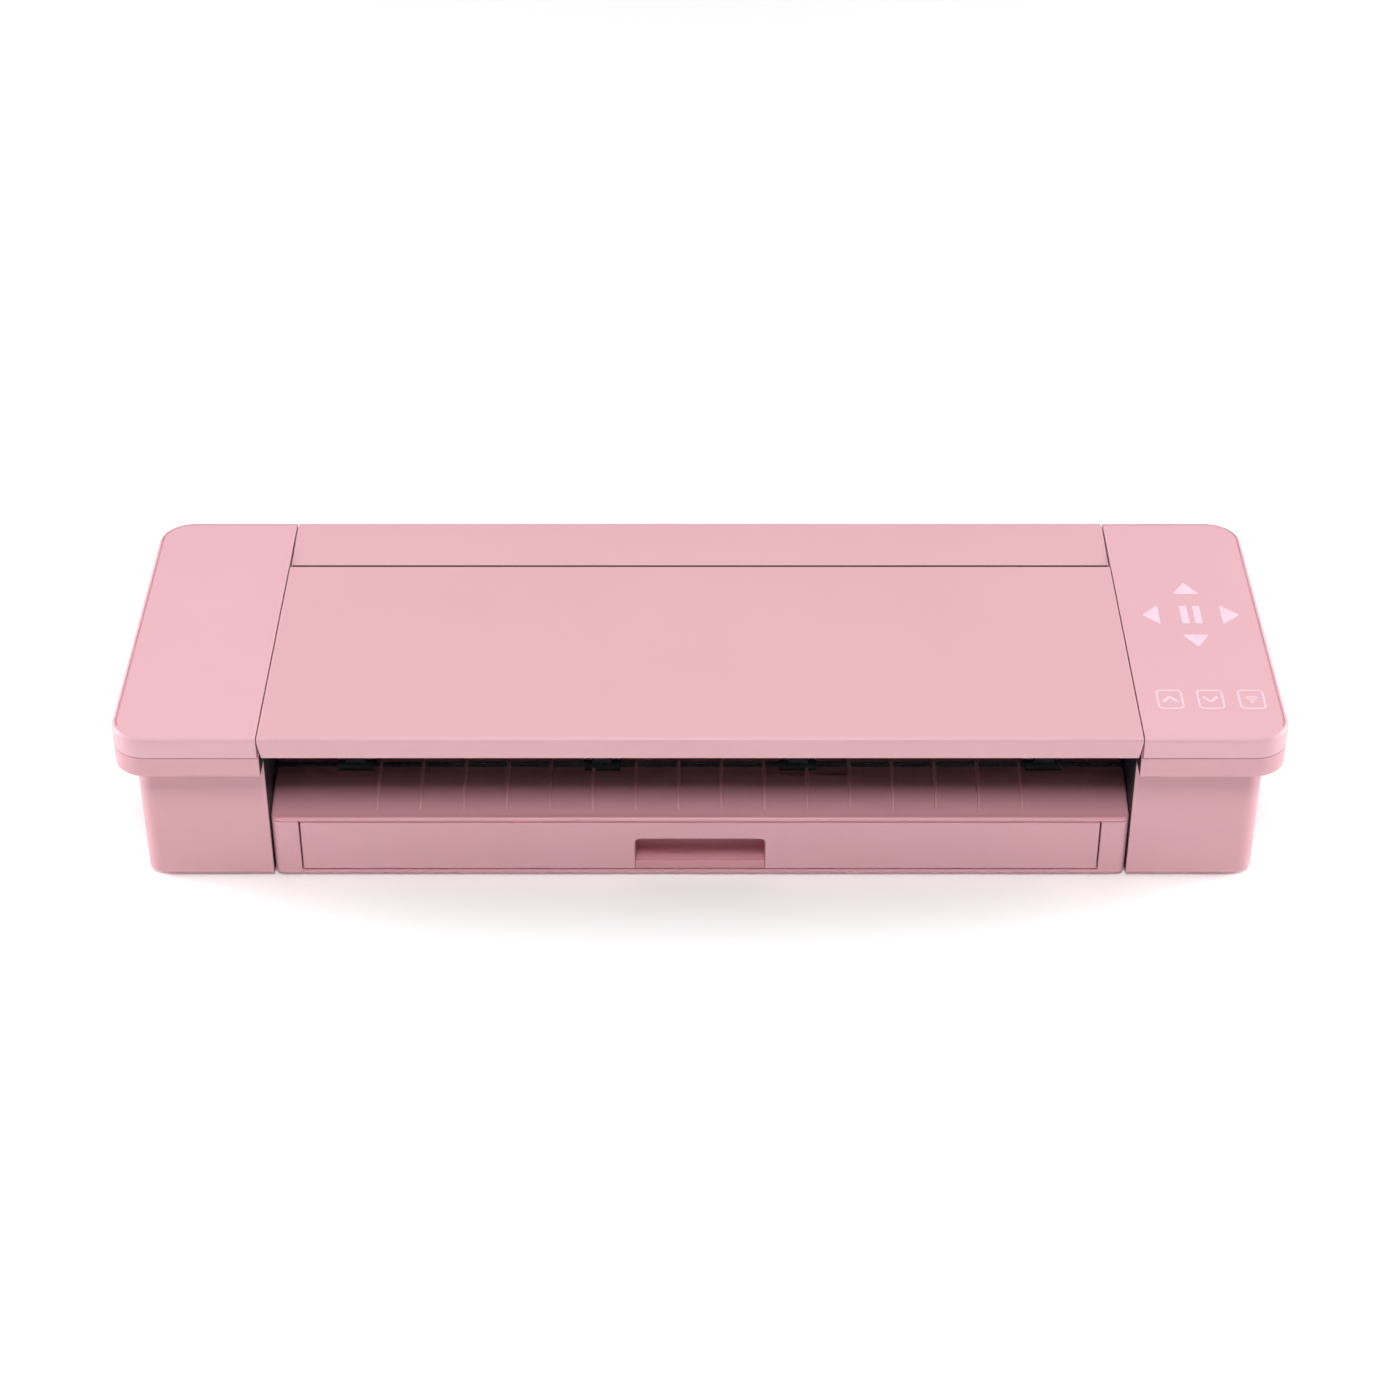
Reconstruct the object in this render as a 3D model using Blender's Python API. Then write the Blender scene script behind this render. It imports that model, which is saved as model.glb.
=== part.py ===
"""Electronic die cutting machine: a flat plotter-type craft cutter with a sliding lid.

X runs across the machine to the user's right, Y runs from the user to the rear and Z runs up.
The origin is on the table, under the middle of the machine.
"""

import math

import bmesh
import bpy

MM = 0.001

# Overall body
WIDTH = 570 * MM
DEPTH = 195 * MM
HEIGHT = 94 * MM
SHELL = 2.4 * MM
TOP_T = 2.5 * MM
GAP = 0.3 * MM
FOOT_H = 1.7 * MM
FOOT_R = 8 * MM
FOOT_INSET_X = 35 * MM
FOOT_INSET_Y = 30 * MM

# Side housings: a lower body under an overhanging band, closed by an end cap
HOUSING_W = 71.6 * MM
CORNER_R = 17 * MM
CAP_H = 11.5 * MM
BAND_H = 11.1 * MM
TOP_EDGE_R = 2.4 * MM
OVERHANG_X = 9 * MM
OVERHANG_Y = 12 * MM
BODY_CORNER_R = 9 * MM
BODY_EDGE_R = 1.5 * MM

# Lid and rear strip
LID_SIDE_GAP = 0.4 * MM
LIP_T = 2.8 * MM
LIP_TAPER = 1.7 * MM
STRIP_D = 39.5 * MM
STRIP_GAP = 3.6 * MM
STRIP_DROP = 1.35 * MM
STRIP_RAMP = 23 * MM
LID_THIN_T = 1.2 * MM
LID_THIN_D = 24.4 * MM
LID_ANGLE = math.radians(3.4)
TRACK_T = 3.6 * MM
TRACK_H = 9 * MM
TRACK_LENGTH = 152 * MM
TRACK_DROP = 16 * MM
GROOVE_T = 2.4 * MM
GROOVE_H = 5.2 * MM
RUNNER_L = 26 * MM
RUNNER_T = 3 * MM
RUNNER_Y = -59 * MM
RUNNER_PLAY = 0.4 * MM

# Bed and drawer
BED_SIDE_GAP = 0.5 * MM
BED_FLOOR_Z = 2 * MM
BED_FLOOR_T = 2.5 * MM
BED_FRAME_TOP = 34.4 * MM
NOSE_Z = 36.8 * MM
BED_Z = 43.6 * MM
BED_CORNER_R = 4.5 * MM
NOSE_R = 1.6 * MM
RAMP_D = 27 * MM
RIB_COUNT = 16
RIB_PITCH = 21.3 * MM
RIB_W = 1.6 * MM
RIB_H = 1.8 * MM
RIB_START = 10 * MM
POST_W = 13.7 * MM
DIVIDER_Y = 34 * MM
DRAWER_SEAM = 0.8 * MM
DRAWER_FRONT_T = 2.8 * MM
DRAWER_L = 109 * MM
DRAWER_WALL_H = 21 * MM
DRAWER_WALL_T = 1.8 * MM
PULL_W = 65 * MM
PULL_H = 18.8 * MM
PULL_D = 14.4 * MM
PULL_R = 3 * MM
PULL_T = 2 * MM
DRAWER_ROLLER_R = 5 * MM
DRAWER_ROLLER_T = 1.8 * MM

# Media feed
FEED_Y = -50 * MM
SHAFT_R = 3 * MM
GRIT_R = 4.6 * MM
GRIT_W = 18 * MM
PINCH_R = 6 * MM
PINCH_W = 10 * MM
PINCH_X = (-172 * MM, -49 * MM, 49 * MM, 172 * MM)
PINCH_AXLE_R = 1.2 * MM
PIVOT_DY = 10 * MM
PIVOT_DZ = 13.2 * MM
PIVOT_R = 1.5 * MM
ARM_CHEEK = 2.6 * MM
PINCH_BAR_D = 7 * MM
PINCH_BAR_H = 8 * MM
GEAR_TEETH = 32
PINION_TEETH = 14
GEAR_MODULE = 1 * MM
GEAR_W = 5 * MM
MOTOR_R = 17.5 * MM
MOTOR_L = 20 * MM

# Cutting strip, tool carriage and its drive
STRIP_W = 12 * MM
STRIP_LENGTH = 344 * MM
TOOL_Y = -20 * MM
TOOL_X = 15 * MM
TOOL_R = 6 * MM
TOOL_TIP_LIFT = 1.5 * MM
RAIL_Y = 6 * MM
RAIL_D = 14 * MM
RAIL_H = 18 * MM
RAIL_TOP_DROP = 21 * MM
CARRIAGE_W = 72 * MM
CARRIAGE_X = -165 * MM
BELT_W = 6 * MM
BELT_T = 1.2 * MM
BELT_Y = 32 * MM
PULLEY_R = 7 * MM
PULLEY_INSET = 24.6 * MM
SIDE_PLATE_T = 1.5 * MM

MID = WIDTH / 2 - HOUSING_W
FRONT = -DEPTH / 2
REAR = DEPTH / 2
BODY_FRONT = FRONT + OVERHANG_Y
BODY_REAR = REAR - OVERHANG_Y
BODY_X = WIDTH / 2 - OVERHANG_X
CAP_Z = HEIGHT - CAP_H
BAND_Z = CAP_Z - BAND_H
INNER_X = MID - 0.6 * MM
BODY_Z = FOOT_H + GAP
PLATE_X = INNER_X + SHELL + 0.8 * MM
BED_X = INNER_X - BED_SIDE_GAP
BAY_X = BED_X - POST_W
DRAWER_TOP = BED_FRAME_TOP + GAP - DRAWER_SEAM
DRAWER_BASE = BED_FLOOR_Z + BED_FLOOR_T + 2 * GAP
MEDIA_Z = BED_Z + RIB_H + 0.1 * MM
SHAFT_Z = MEDIA_Z - GRIT_R
PINCH_Z = MEDIA_Z + GAP + PINCH_R
PIVOT_Y = FEED_Y + PIVOT_DY
PIVOT_Z = PINCH_Z + PIVOT_DZ
LID_REAR = REAR - STRIP_D - STRIP_GAP
TRACK_Z = HEIGHT - TRACK_DROP
RAIL_TOP = HEIGHT - RAIL_TOP_DROP
BELT_Z = RAIL_TOP - 9 * MM
PULLEY_X = MID + PULLEY_INSET
GEAR_X = PLATE_X + SIDE_PLATE_T + 6.5 * MM
FEED_MOTOR_X = GEAR_X + GEAR_W + 3 * MM
PINION_Y = FEED_Y + GEAR_MODULE * (GEAR_TEETH + PINION_TEETH) / 2 + 0.05 * MM

PINK = "eebac3"
PINK_DEEP = "dba6ae"
WHITE = "f4f1ee"
GRAPHITE = "2b2c30"
STEEL = "a9adb1"
ALUMINIUM = "c3c6c9"
RUBBER = "1c1c1e"
BRASS = "c9a24e"
BOARD = "1f5a3a"
GRIT = "6c6e70"


def clear_scene():
    for obj in list(bpy.data.objects):
        bpy.data.objects.remove(obj, do_unlink=True)


def linear(channel):
    value = int(channel, 16) / 255
    if value <= 0.04045:
        return value / 12.92
    return ((value + 0.055) / 1.055) ** 2.4


def material(name, colour, roughness, metallic=0.0):
    mat = bpy.data.materials.new(name)
    mat.use_nodes = True
    shader = mat.node_tree.nodes["Principled BSDF"]
    rgb = [linear(colour[i:i + 2]) for i in (0, 2, 4)]
    shader.inputs["Base Color"].default_value = (*rgb, 1.0)
    shader.inputs["Roughness"].default_value = roughness
    shader.inputs["Metallic"].default_value = metallic
    return mat


def place(axis, along, first, second):
    """A point from its distance along an axis and its two coordinates across it."""
    if axis == "X":
        return (along, first, second)
    if axis == "Y":
        return (first, along, second)
    return (first, second, along)


def prism(outline, axis, low, high):
    """A flat outline pulled along an axis. Across X the outline is (y, z), Y (x, z), Z (x, y)."""
    bm = bmesh.new()
    bottom = [bm.verts.new(place(axis, low, *point)) for point in outline]
    face = bm.faces.new(bottom)
    pulled = bmesh.ops.extrude_face_region(bm, geom=[face])["geom"]
    top = [item for item in pulled if isinstance(item, bmesh.types.BMVert)]
    bmesh.ops.translate(bm, verts=top, vec=place(axis, high - low, 0.0, 0.0))
    bmesh.ops.recalc_face_normals(bm, faces=bm.faces)
    return bm


def box(x, y, z):
    corners = [(x[0], y[0]), (x[1], y[0]), (x[1], y[1]), (x[0], y[1])]
    return prism(corners, "Z", z[0], z[1])


def corner_arc(x, y, radius, start, steps):
    """Points round a corner of a rectangle, from one side to the next."""
    if radius <= 0:
        return [(x, y)]
    turn = math.radians(start)
    centre_x = x - radius * (math.cos(turn) - math.sin(turn))
    centre_y = y - radius * (math.sin(turn) + math.cos(turn))
    points = []
    for step in range(steps + 1):
        angle = turn + math.pi / 2 * step / steps
        points.append((centre_x + radius * math.cos(angle), centre_y + radius * math.sin(angle)))
    return points


def rounded(x, y, radii, steps=5):
    """A rectangle with a radius for each corner: low-low, high-low, high-high, low-high."""
    points = corner_arc(x[0], y[0], radii[0], 180, steps)
    points += corner_arc(x[1], y[0], radii[1], 270, steps)
    points += corner_arc(x[1], y[1], radii[2], 0, steps)
    points += corner_arc(x[0], y[1], radii[3], 90, steps)
    return points


def turned(profile, axis, centre, steps=24, ring=False):
    """A profile of (along, radius) points turned about an axis. A ring profile closes on itself."""
    bm = bmesh.new()
    loops = []
    for along, radius in profile:
        if radius <= 0:
            loops.append([bm.verts.new(place(axis, along, *centre))])
            continue
        loop = []
        for step in range(steps):
            angle = 2 * math.pi * step / steps
            first = centre[0] + radius * math.cos(angle)
            second = centre[1] + radius * math.sin(angle)
            loop.append(bm.verts.new(place(axis, along, first, second)))
        loops.append(loop)
    pairs = list(zip(loops, loops[1:]))
    if ring:
        pairs.append((loops[-1], loops[0]))
    for one, other in pairs:
        bridge(bm, one, other, steps)
    bmesh.ops.recalc_face_normals(bm, faces=bm.faces)
    return bm


def bridge(bm, one, other, steps):
    for step in range(steps):
        after = (step + 1) % steps
        if len(one) == 1:
            bm.faces.new((one[0], other[step], other[after]))
        elif len(other) == 1:
            bm.faces.new((one[step], one[after], other[0]))
        else:
            bm.faces.new((one[step], one[after], other[after], other[step]))


def rod(axis, centre, radius, low, high, steps=24):
    return turned([(low, 0), (low, radius), (high, radius), (high, 0)], axis, centre, steps)


def tube(axis, centre, outer, inner, low, high, steps=24):
    profile = [(low, inner), (low, outer), (high, outer), (high, inner)]
    return turned(profile, axis, centre, steps, ring=True)


def round_edges(bm, radius, steps, wanted):
    """Bevels the edges whose two ends both satisfy a test."""
    edges = [edge for edge in bm.edges if all(wanted(vert.co) for vert in edge.verts)]
    bmesh.ops.bevel(
        bm, geom=edges, offset=radius, segments=steps, profile=0.5, affect="EDGES",
        clamp_overlap=True,
    )
    bmesh.ops.recalc_face_normals(bm, faces=bm.faces)
    return bm


def add(name, bm, mat, origin=(0, 0, 0)):
    """An object from a shape given in world coordinates, with its origin at a chosen point."""
    bmesh.ops.translate(bm, verts=bm.verts, vec=[-value for value in origin])
    mesh = bpy.data.meshes.new(name)
    bm.to_mesh(mesh)
    bm.free()
    mesh.materials.append(mat)
    mesh.shade_smooth()
    mesh.set_sharp_from_angle(angle=math.radians(35))
    obj = bpy.data.objects.new(name, mesh)
    obj.location = origin
    bpy.context.scene.collection.objects.link(obj)
    return obj


def helper(obj, bm, label):
    """A hidden shape for a Boolean, in the same frame as the object it works on."""
    tool = add(f"{obj.name}_{label}", bm, obj.data.materials[0], tuple(obj.location))
    tool.hide_render = True
    tool.display_type = "WIRE"
    return tool


def combine(obj, bm, label, operation):
    modifier = obj.modifiers.new(label, "BOOLEAN")
    modifier.operation = operation
    modifier.solver = "EXACT"
    modifier.object = helper(obj, bm, label)
    return obj


def cut(obj, bm, label):
    return combine(obj, bm, label, "DIFFERENCE")


def join(obj, bm, label):
    return combine(obj, bm, label, "UNION")


def copy_of(source, name, move):
    """Another piece on the same mesh, with the same Booleans, moved along."""
    obj = bpy.data.objects.new(name, source.data)
    obj.location = source.location
    obj.location.x += move
    bpy.context.scene.collection.objects.link(obj)
    for modifier in source.modifiers:
        tool = bpy.data.objects.new(f"{name}_{modifier.name}", modifier.object.data)
        tool.location = modifier.object.location
        tool.location.x += move
        tool.hide_render = True
        tool.display_type = "WIRE"
        bpy.context.scene.collection.objects.link(tool)
        made = obj.modifiers.new(modifier.name, "BOOLEAN")
        made.operation = modifier.operation
        made.solver = "EXACT"
        made.object = tool
    return obj


def span(side, low, high):
    """A range of X on the left (-1) or right (+1) of the machine."""
    ends = (side * low, side * high)
    return (min(ends), max(ends))


def side_radii(side, radius):
    """Corner radii of a housing: round on its outer side, square towards the middle."""
    if side < 0:
        return (radius, 0, 0, radius)
    return (0, radius, radius, 0)


def build_housing(side, name, mat):
    lower = prism(
        rounded(span(side, INNER_X, BODY_X), (BODY_FRONT, BODY_REAR),
                side_radii(side, BODY_CORNER_R)),
        "Z", BODY_Z, BAND_Z + SHELL / 2,
    )
    inner = side * INNER_X
    round_edges(
        lower, BODY_EDGE_R, 3,
        lambda co: co.z < BODY_Z + 1e-6 and abs(co.x - inner) > 1e-6,
    )
    obj = add(name, lower, mat)
    band = prism(
        rounded(span(side, INNER_X, WIDTH / 2), (FRONT, REAR), side_radii(side, CORNER_R), 7),
        "Z", BAND_Z, CAP_Z - GAP,
    )
    join(obj, band, "band")
    wall = INNER_X + SHELL
    hollow = prism(
        rounded(span(side, wall, BODY_X - SHELL), (BODY_FRONT + SHELL, BODY_REAR - SHELL),
                side_radii(side, BODY_CORNER_R - SHELL)),
        "Z", BODY_Z + SHELL, CAP_Z,
    )
    cut(obj, hollow, "hollow")
    gallery = prism(
        rounded(span(side, wall, WIDTH / 2 - SHELL), (FRONT + SHELL, REAR - SHELL),
                side_radii(side, CORNER_R - SHELL), 7),
        "Z", BAND_Z + SHELL, CAP_Z + GAP,
    )
    cut(obj, gallery, "gallery")
    through = span(side, INNER_X - 1 * MM, wall + 1 * MM)
    window = box(through, (RAIL_Y - 3 * MM, BELT_Y + BELT_W / 2 + 4 * MM),
                 (RAIL_TOP - RAIL_H - 2 * MM, HEIGHT))
    cut(obj, window, "window")
    cut(obj, rod("X", (FEED_Y, SHAFT_Z), SHAFT_R + 2 * GAP, *through), "shaft_hole")
    return obj


def build_right_openings(obj, button, inlet, usb):
    wall = (BODY_X - SHELL - 1 * MM, BODY_X + 1 * MM)
    cut(obj, rod("X", (button["y"], button["z"]), button["r"] + GAP, *wall, 32), "button_hole")
    rear = (BODY_REAR - SHELL - 1 * MM, BODY_REAR + 1 * MM)
    for label, piece in (("inlet_hole", inlet), ("usb_hole", usb)):
        x = (piece["x"][0] - GAP, piece["x"][1] + GAP)
        z = (piece["z"][0] - GAP, piece["z"][1] + GAP)
        cut(obj, box(x, rear, z), label)


def build_end_cap(side, name, mat):
    inner = MID + 0.2 * MM
    shell = prism(
        rounded(span(side, inner, WIDTH / 2), (FRONT, REAR), side_radii(side, CORNER_R), 7),
        "Z", CAP_Z, HEIGHT,
    )
    round_edges(
        shell, TOP_EDGE_R, 3,
        lambda co: co.z > HEIGHT - 1e-6 and abs(co.x - side * inner) > 1e-6,
    )
    obj = add(name, shell, mat)
    hollow = prism(
        rounded(span(side, inner + SHELL, WIDTH / 2 - SHELL), (FRONT + SHELL, REAR - SHELL),
                side_radii(side, CORNER_R - SHELL), 7),
        "Z", CAP_Z - 1 * MM, HEIGHT - TOP_T,
    )
    return cut(obj, hollow, "hollow")


def build_feet(mat):
    for side, across in ((-1, "left"), (1, "right")):
        for end, along in ((-1, "front"), (1, "rear")):
            centre = (side * (WIDTH / 2 - FOOT_INSET_X), end * (DEPTH / 2 - FOOT_INSET_Y))
            add(f"foot_{along}_{across}", rod("Z", centre, FOOT_R, 0, FOOT_H), mat)


def build_lid(mat):
    half = MID - LID_SIDE_GAP
    side = [
        (FRONT, CAP_Z), (FRONT, HEIGHT), (LID_REAR, HEIGHT), (LID_REAR, HEIGHT - LID_THIN_T),
        (LID_REAR - LID_THIN_D, HEIGHT - LID_THIN_T), (LID_REAR - LID_THIN_D, HEIGHT - TOP_T),
        (FRONT + LIP_T, HEIGHT - TOP_T), (FRONT + LIP_T, CAP_Z),
    ]
    bm = prism(side, "X", -half, half)
    for vert in bm.verts:
        if vert.co.z < CAP_Z + 1e-6:
            vert.co.x -= math.copysign(LIP_TAPER, vert.co.x)
    round_edges(
        bm, TOP_EDGE_R - 0.6 * MM, 3,
        lambda co: co.z > HEIGHT - 1e-6 and co.y < FRONT + 1e-6,
    )
    return add("lid", bm, mat)


def tilted(bm, side):
    """Turns a shape to the slope of the lid's track, about the track's middle."""
    from_centre = bmesh.ops.translate
    from_centre(bm, verts=bm.verts, vec=(0, 0, -TRACK_Z))
    for vert in bm.verts:
        y, z = vert.co.y, vert.co.z
        vert.co.y = y * math.cos(LID_ANGLE) - z * math.sin(LID_ANGLE)
        vert.co.z = y * math.sin(LID_ANGLE) + z * math.cos(LID_ANGLE)
    from_centre(bm, verts=bm.verts, vec=(0, 0, TRACK_Z))
    return bm


def build_lid_track(side, name, mat):
    outer = INNER_X - GAP
    inner = outer - TRACK_T
    groove = inner + GROOVE_T
    low, high = TRACK_Z - TRACK_H / 2, TRACK_Z + TRACK_H / 2
    slot_low, slot_high = TRACK_Z - GROOVE_H / 2, TRACK_Z + GROOVE_H / 2
    outline = [
        (inner, low), (outer, low), (outer, high), (inner, high),
        (inner, slot_high), (groove, slot_high), (groove, slot_low), (inner, slot_low),
    ]
    outline = [(side * x, z) for x, z in outline]
    bm = prism(outline, "Y", -TRACK_LENGTH / 2, TRACK_LENGTH / 2)
    return add(name, tilted(bm, side), mat)


def build_lid_runner(side, name, mat):
    """A web under the lid with a tongue that rides in the sloping groove."""
    inner = INNER_X - GAP - TRACK_T
    web = span(side, inner - RUNNER_PLAY - RUNNER_T, inner - RUNNER_PLAY)
    tongue = span(side, inner - RUNNER_PLAY - RUNNER_T, inner + GROOVE_T - RUNNER_PLAY)
    height = GROOVE_H / 2 - RUNNER_PLAY
    track_z = TRACK_Z + RUNNER_Y * math.tan(LID_ANGLE)
    y = (RUNNER_Y - RUNNER_L / 2, RUNNER_Y + RUNNER_L / 2)
    obj = add(name, box(web, y, (track_z, HEIGHT - TOP_T - GAP)), mat)
    shape = tilted(box(tongue, y, (TRACK_Z - height, TRACK_Z + height)), side)
    return join(obj, shape, "tongue")


def build_rear_strip(mat):
    start = REAR - STRIP_D
    low = HEIGHT - STRIP_DROP
    edge = TOP_EDGE_R - 0.6 * MM
    outline = [
        (start, low - TOP_T), (start, low), (start + STRIP_RAMP, HEIGHT), (REAR - edge, HEIGHT),
        (REAR - edge * 0.29, HEIGHT - edge * 0.29), (REAR, HEIGHT - edge), (REAR, BAND_Z),
        (BODY_REAR + GAP, BAND_Z), (BODY_REAR + GAP, BAND_Z + SHELL),
        (REAR - SHELL, BAND_Z + SHELL), (REAR - SHELL, HEIGHT - TOP_T),
        (start + STRIP_RAMP, HEIGHT - TOP_T),
    ]
    half = MID - 2 * GAP
    obj = add("rear_strip", prism(outline, "X", -half, half), mat)
    return obj


def build_rear_cover(mat):
    y = (BODY_REAR - SHELL, BODY_REAR)
    obj = add("rear_cover", box((-BED_X, BED_X), y, (BED_FRAME_TOP + GAP, BAND_Z - GAP)), mat)
    half = STRIP_LENGTH / 2 - 7 * MM
    slot = prism(
        rounded((-half, half), (BED_Z - 0.4 * MM, BED_Z + 7.4 * MM), (2 * MM,) * 4, 3),
        "Y", y[0] - 1 * MM, y[1] + 1 * MM,
    )
    return cut(obj, slot, "slot")


def build_bed_frame(mat):
    radii = (BED_CORNER_R, BED_CORNER_R, 1 * MM, 1 * MM)
    block = prism(
        rounded((-BED_X, BED_X), (BODY_FRONT, BODY_REAR - GAP), radii),
        "Z", BED_FLOOR_Z, BED_FRAME_TOP,
    )
    obj = add("bed_frame", block, mat)
    floor = BED_FLOOR_Z + BED_FLOOR_T
    z = (floor, BED_FRAME_TOP + 1 * MM)
    cut(obj, box((-BAY_X, BAY_X), (BODY_FRONT - 1 * MM, DIVIDER_Y), z), "drawer_bay")
    rear = (DIVIDER_Y + 2 * MM, BODY_REAR - SHELL - GAP)
    cut(obj, box((-BAY_X, BAY_X), rear, z), "rear_bay")
    for side, label in ((-1, "left_pocket"), (1, "right_pocket")):
        pocket = box(span(side, BAY_X + 2 * MM, BED_X - 2 * MM),
                     (BODY_FRONT + 6 * MM, BODY_REAR - 6 * MM), z)
        cut(obj, pocket, label)
    return obj


def bed_height(y):
    """Height of the bed's surface: it leaves the nose level and eases up to the flat."""
    start = BODY_FRONT + 2 * NOSE_R
    share = min(max((y - start) / RAMP_D, 0), 1)
    return NOSE_Z + (BED_Z - NOSE_Z) * share * share * (3 - 2 * share)


def bed_outline(inset):
    """Side view of the bed, shrunk by a wall thickness for its hollow."""
    start = BODY_FRONT + 2 * NOSE_R
    top = [(start + RAMP_D * step / 8, 0) for step in range(9)]
    top = [(y, bed_height(y) - inset) for y, _ in top]
    rear = BODY_REAR - SHELL - GAP - inset
    floor = BED_FRAME_TOP + GAP
    if inset:
        top = [(y, z) for y, z in top if z > floor + 1 * MM]
        low = floor - 1 * MM
        return [(top[0][0], low)] + top + [(rear, BED_Z - inset), (rear, low)]
    nose = corner_arc(BODY_FRONT, NOSE_Z, NOSE_R, 90, 4)[::-1]
    return [(BODY_FRONT, floor)] + nose + top + [(rear, BED_Z), (rear, floor)]


def build_bed(mat):
    obj = add("bed", prism(bed_outline(0), "X", -BED_X, BED_X), mat)
    corner = BED_CORNER_R
    for side, label in ((-1, "left_corner"), (1, "right_corner")):
        cut(obj, corner_waste(side, corner), label)
    cut(obj, prism(bed_outline(2.2 * MM), "X", -BED_X + SHELL, BED_X - SHELL), "hollow")
    for index in range(RIB_COUNT):
        x = (index - (RIB_COUNT - 1) / 2) * RIB_PITCH
        join(obj, rib(x), f"rib_{index + 1:02d}")
    cut(obj, rod("X", (FEED_Y, SHAFT_Z), SHAFT_R + 0.4 * MM, -BED_X - 1 * MM, BED_X + 1 * MM),
        "shaft_way")
    for index, x in enumerate(PINCH_X):
        half = GRIT_W / 2 + 0.6 * MM
        y = (FEED_Y - GRIT_R - 0.6 * MM, FEED_Y + GRIT_R + 0.6 * MM)
        window = box((x - half, x + half), y, (BED_FRAME_TOP, MEDIA_Z + 1 * MM))
        cut(obj, window, f"grit_window_{index + 1}")
    half = STRIP_LENGTH / 2 + GAP
    y = (TOOL_Y - STRIP_W / 2 - GAP, TOOL_Y + STRIP_W / 2 + GAP)
    cut(obj, box((-half, half), y, (BED_Z - 1 * MM, MEDIA_Z + 1 * MM)), "strip_groove")
    return obj


def corner_waste(side, radius):
    """What a rounded vertical edge takes off a square corner at the front."""
    centre_x = BED_X - radius
    centre_y = BODY_FRONT + radius
    arc = []
    for step in range(6):
        angle = math.radians(270 + 90 * step / 5)
        arc.append((side * (centre_x + radius * math.cos(angle)),
                    centre_y + radius * math.sin(angle)))
    far = [(side * (BED_X + 1 * MM), centre_y), (side * (BED_X + 1 * MM), BODY_FRONT - 1 * MM),
           (side * centre_x, BODY_FRONT - 1 * MM)]
    return prism(arc + far, "Z", BED_FRAME_TOP, BED_Z + 1 * MM)


def rib(x):
    start = BODY_FRONT + RIB_START
    full = BODY_FRONT + 2 * NOSE_R + RAMP_D + 2 * MM
    rear = BODY_REAR - SHELL - GAP - 3 * MM
    sunk = BED_Z - 1.2 * MM
    outline = [(start, bed_height(start) - 0.4 * MM)]
    for step in range(1, 6):
        y = start + (full - start) * step / 5
        outline.append((y, bed_height(y) + RIB_H * step / 5))
    outline += [(rear, BED_Z + RIB_H), (rear, sunk), (full, sunk)]
    for step in range(4, 0, -1):
        y = start + (full - start) * step / 5
        outline.append((y, bed_height(y) - 1.2 * MM))
    return prism(outline, "X", x - RIB_W / 2, x + RIB_W / 2)


def build_drawer(mat):
    half = BAY_X - DRAWER_SEAM
    front = box((-half, half), (BODY_FRONT, BODY_FRONT + DRAWER_FRONT_T),
                (DRAWER_BASE, DRAWER_TOP))
    obj = add("drawer", front, mat)
    tray_x = BAY_X - DRAWER_ROLLER_T - 2 * GAP - 0.2 * MM
    y = (BODY_FRONT + DRAWER_FRONT_T / 2, BODY_FRONT + DRAWER_L)
    join(obj, box((-tray_x, tray_x), y, (DRAWER_BASE, DRAWER_BASE + DRAWER_WALL_H)), "tray")
    wall = DRAWER_WALL_T
    inside = box((-tray_x + wall, tray_x - wall), (BODY_FRONT + DRAWER_FRONT_T, y[1] - wall),
                 (DRAWER_BASE + wall, DRAWER_TOP + 1 * MM))
    cut(obj, inside, "inside")
    notch = prism(
        rounded((-PULL_W / 2, PULL_W / 2), (DRAWER_BASE - 5 * MM, DRAWER_BASE + PULL_H),
                (0, 0, PULL_R, PULL_R), 4),
        "Y", BODY_FRONT - 1 * MM, BODY_FRONT + DRAWER_FRONT_T,
    )
    return cut(obj, notch, "notch")


def build_drawer_pull(mat):
    """A finger scoop behind the notch: a cup with a floor that slopes up to the rear."""
    start = BODY_FRONT + DRAWER_FRONT_T + GAP
    end = start + PULL_D
    floor = DRAWER_BASE + DRAWER_WALL_T + GAP
    top = DRAWER_BASE + PULL_H
    half = PULL_W / 2 - GAP
    cup = box((-half - PULL_T, half + PULL_T), (start, end), (floor, top + PULL_T))
    obj = add("drawer_pull", cup, mat)
    sill = [
        (BODY_FRONT + GAP, DRAWER_BASE + GAP), (start - 2 * GAP, DRAWER_BASE + GAP),
        (start - 2 * GAP, floor), (start + 2 * MM, floor), (start + 2 * MM, floor + 1 * MM),
        (BODY_FRONT + GAP, DRAWER_BASE + 1.3 * MM),
    ]
    join(obj, prism(sill, "X", -half, half), "sill")
    pocket = [
        (start - 1 * MM, floor + 0.6 * MM), (end - PULL_T - 4 * MM, floor + 2.2 * MM),
        (end - PULL_T, floor + 4.4 * MM), (end - PULL_T, top), (start - 1 * MM, top),
    ]
    return cut(obj, prism(pocket, "X", -half, half), "pocket")


def build_drawer_roller(side, name, mat):
    low = BAY_X - DRAWER_ROLLER_T - GAP
    x = span(side, low, low + DRAWER_ROLLER_T)
    y = BODY_FRONT + DRAWER_L - 8 * MM
    z = BED_FLOOR_Z + BED_FLOOR_T + GAP + DRAWER_ROLLER_R
    return add(name, rod("X", (y, z), DRAWER_ROLLER_R, *x), mat, (sum(x) / 2, y, z))


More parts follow.
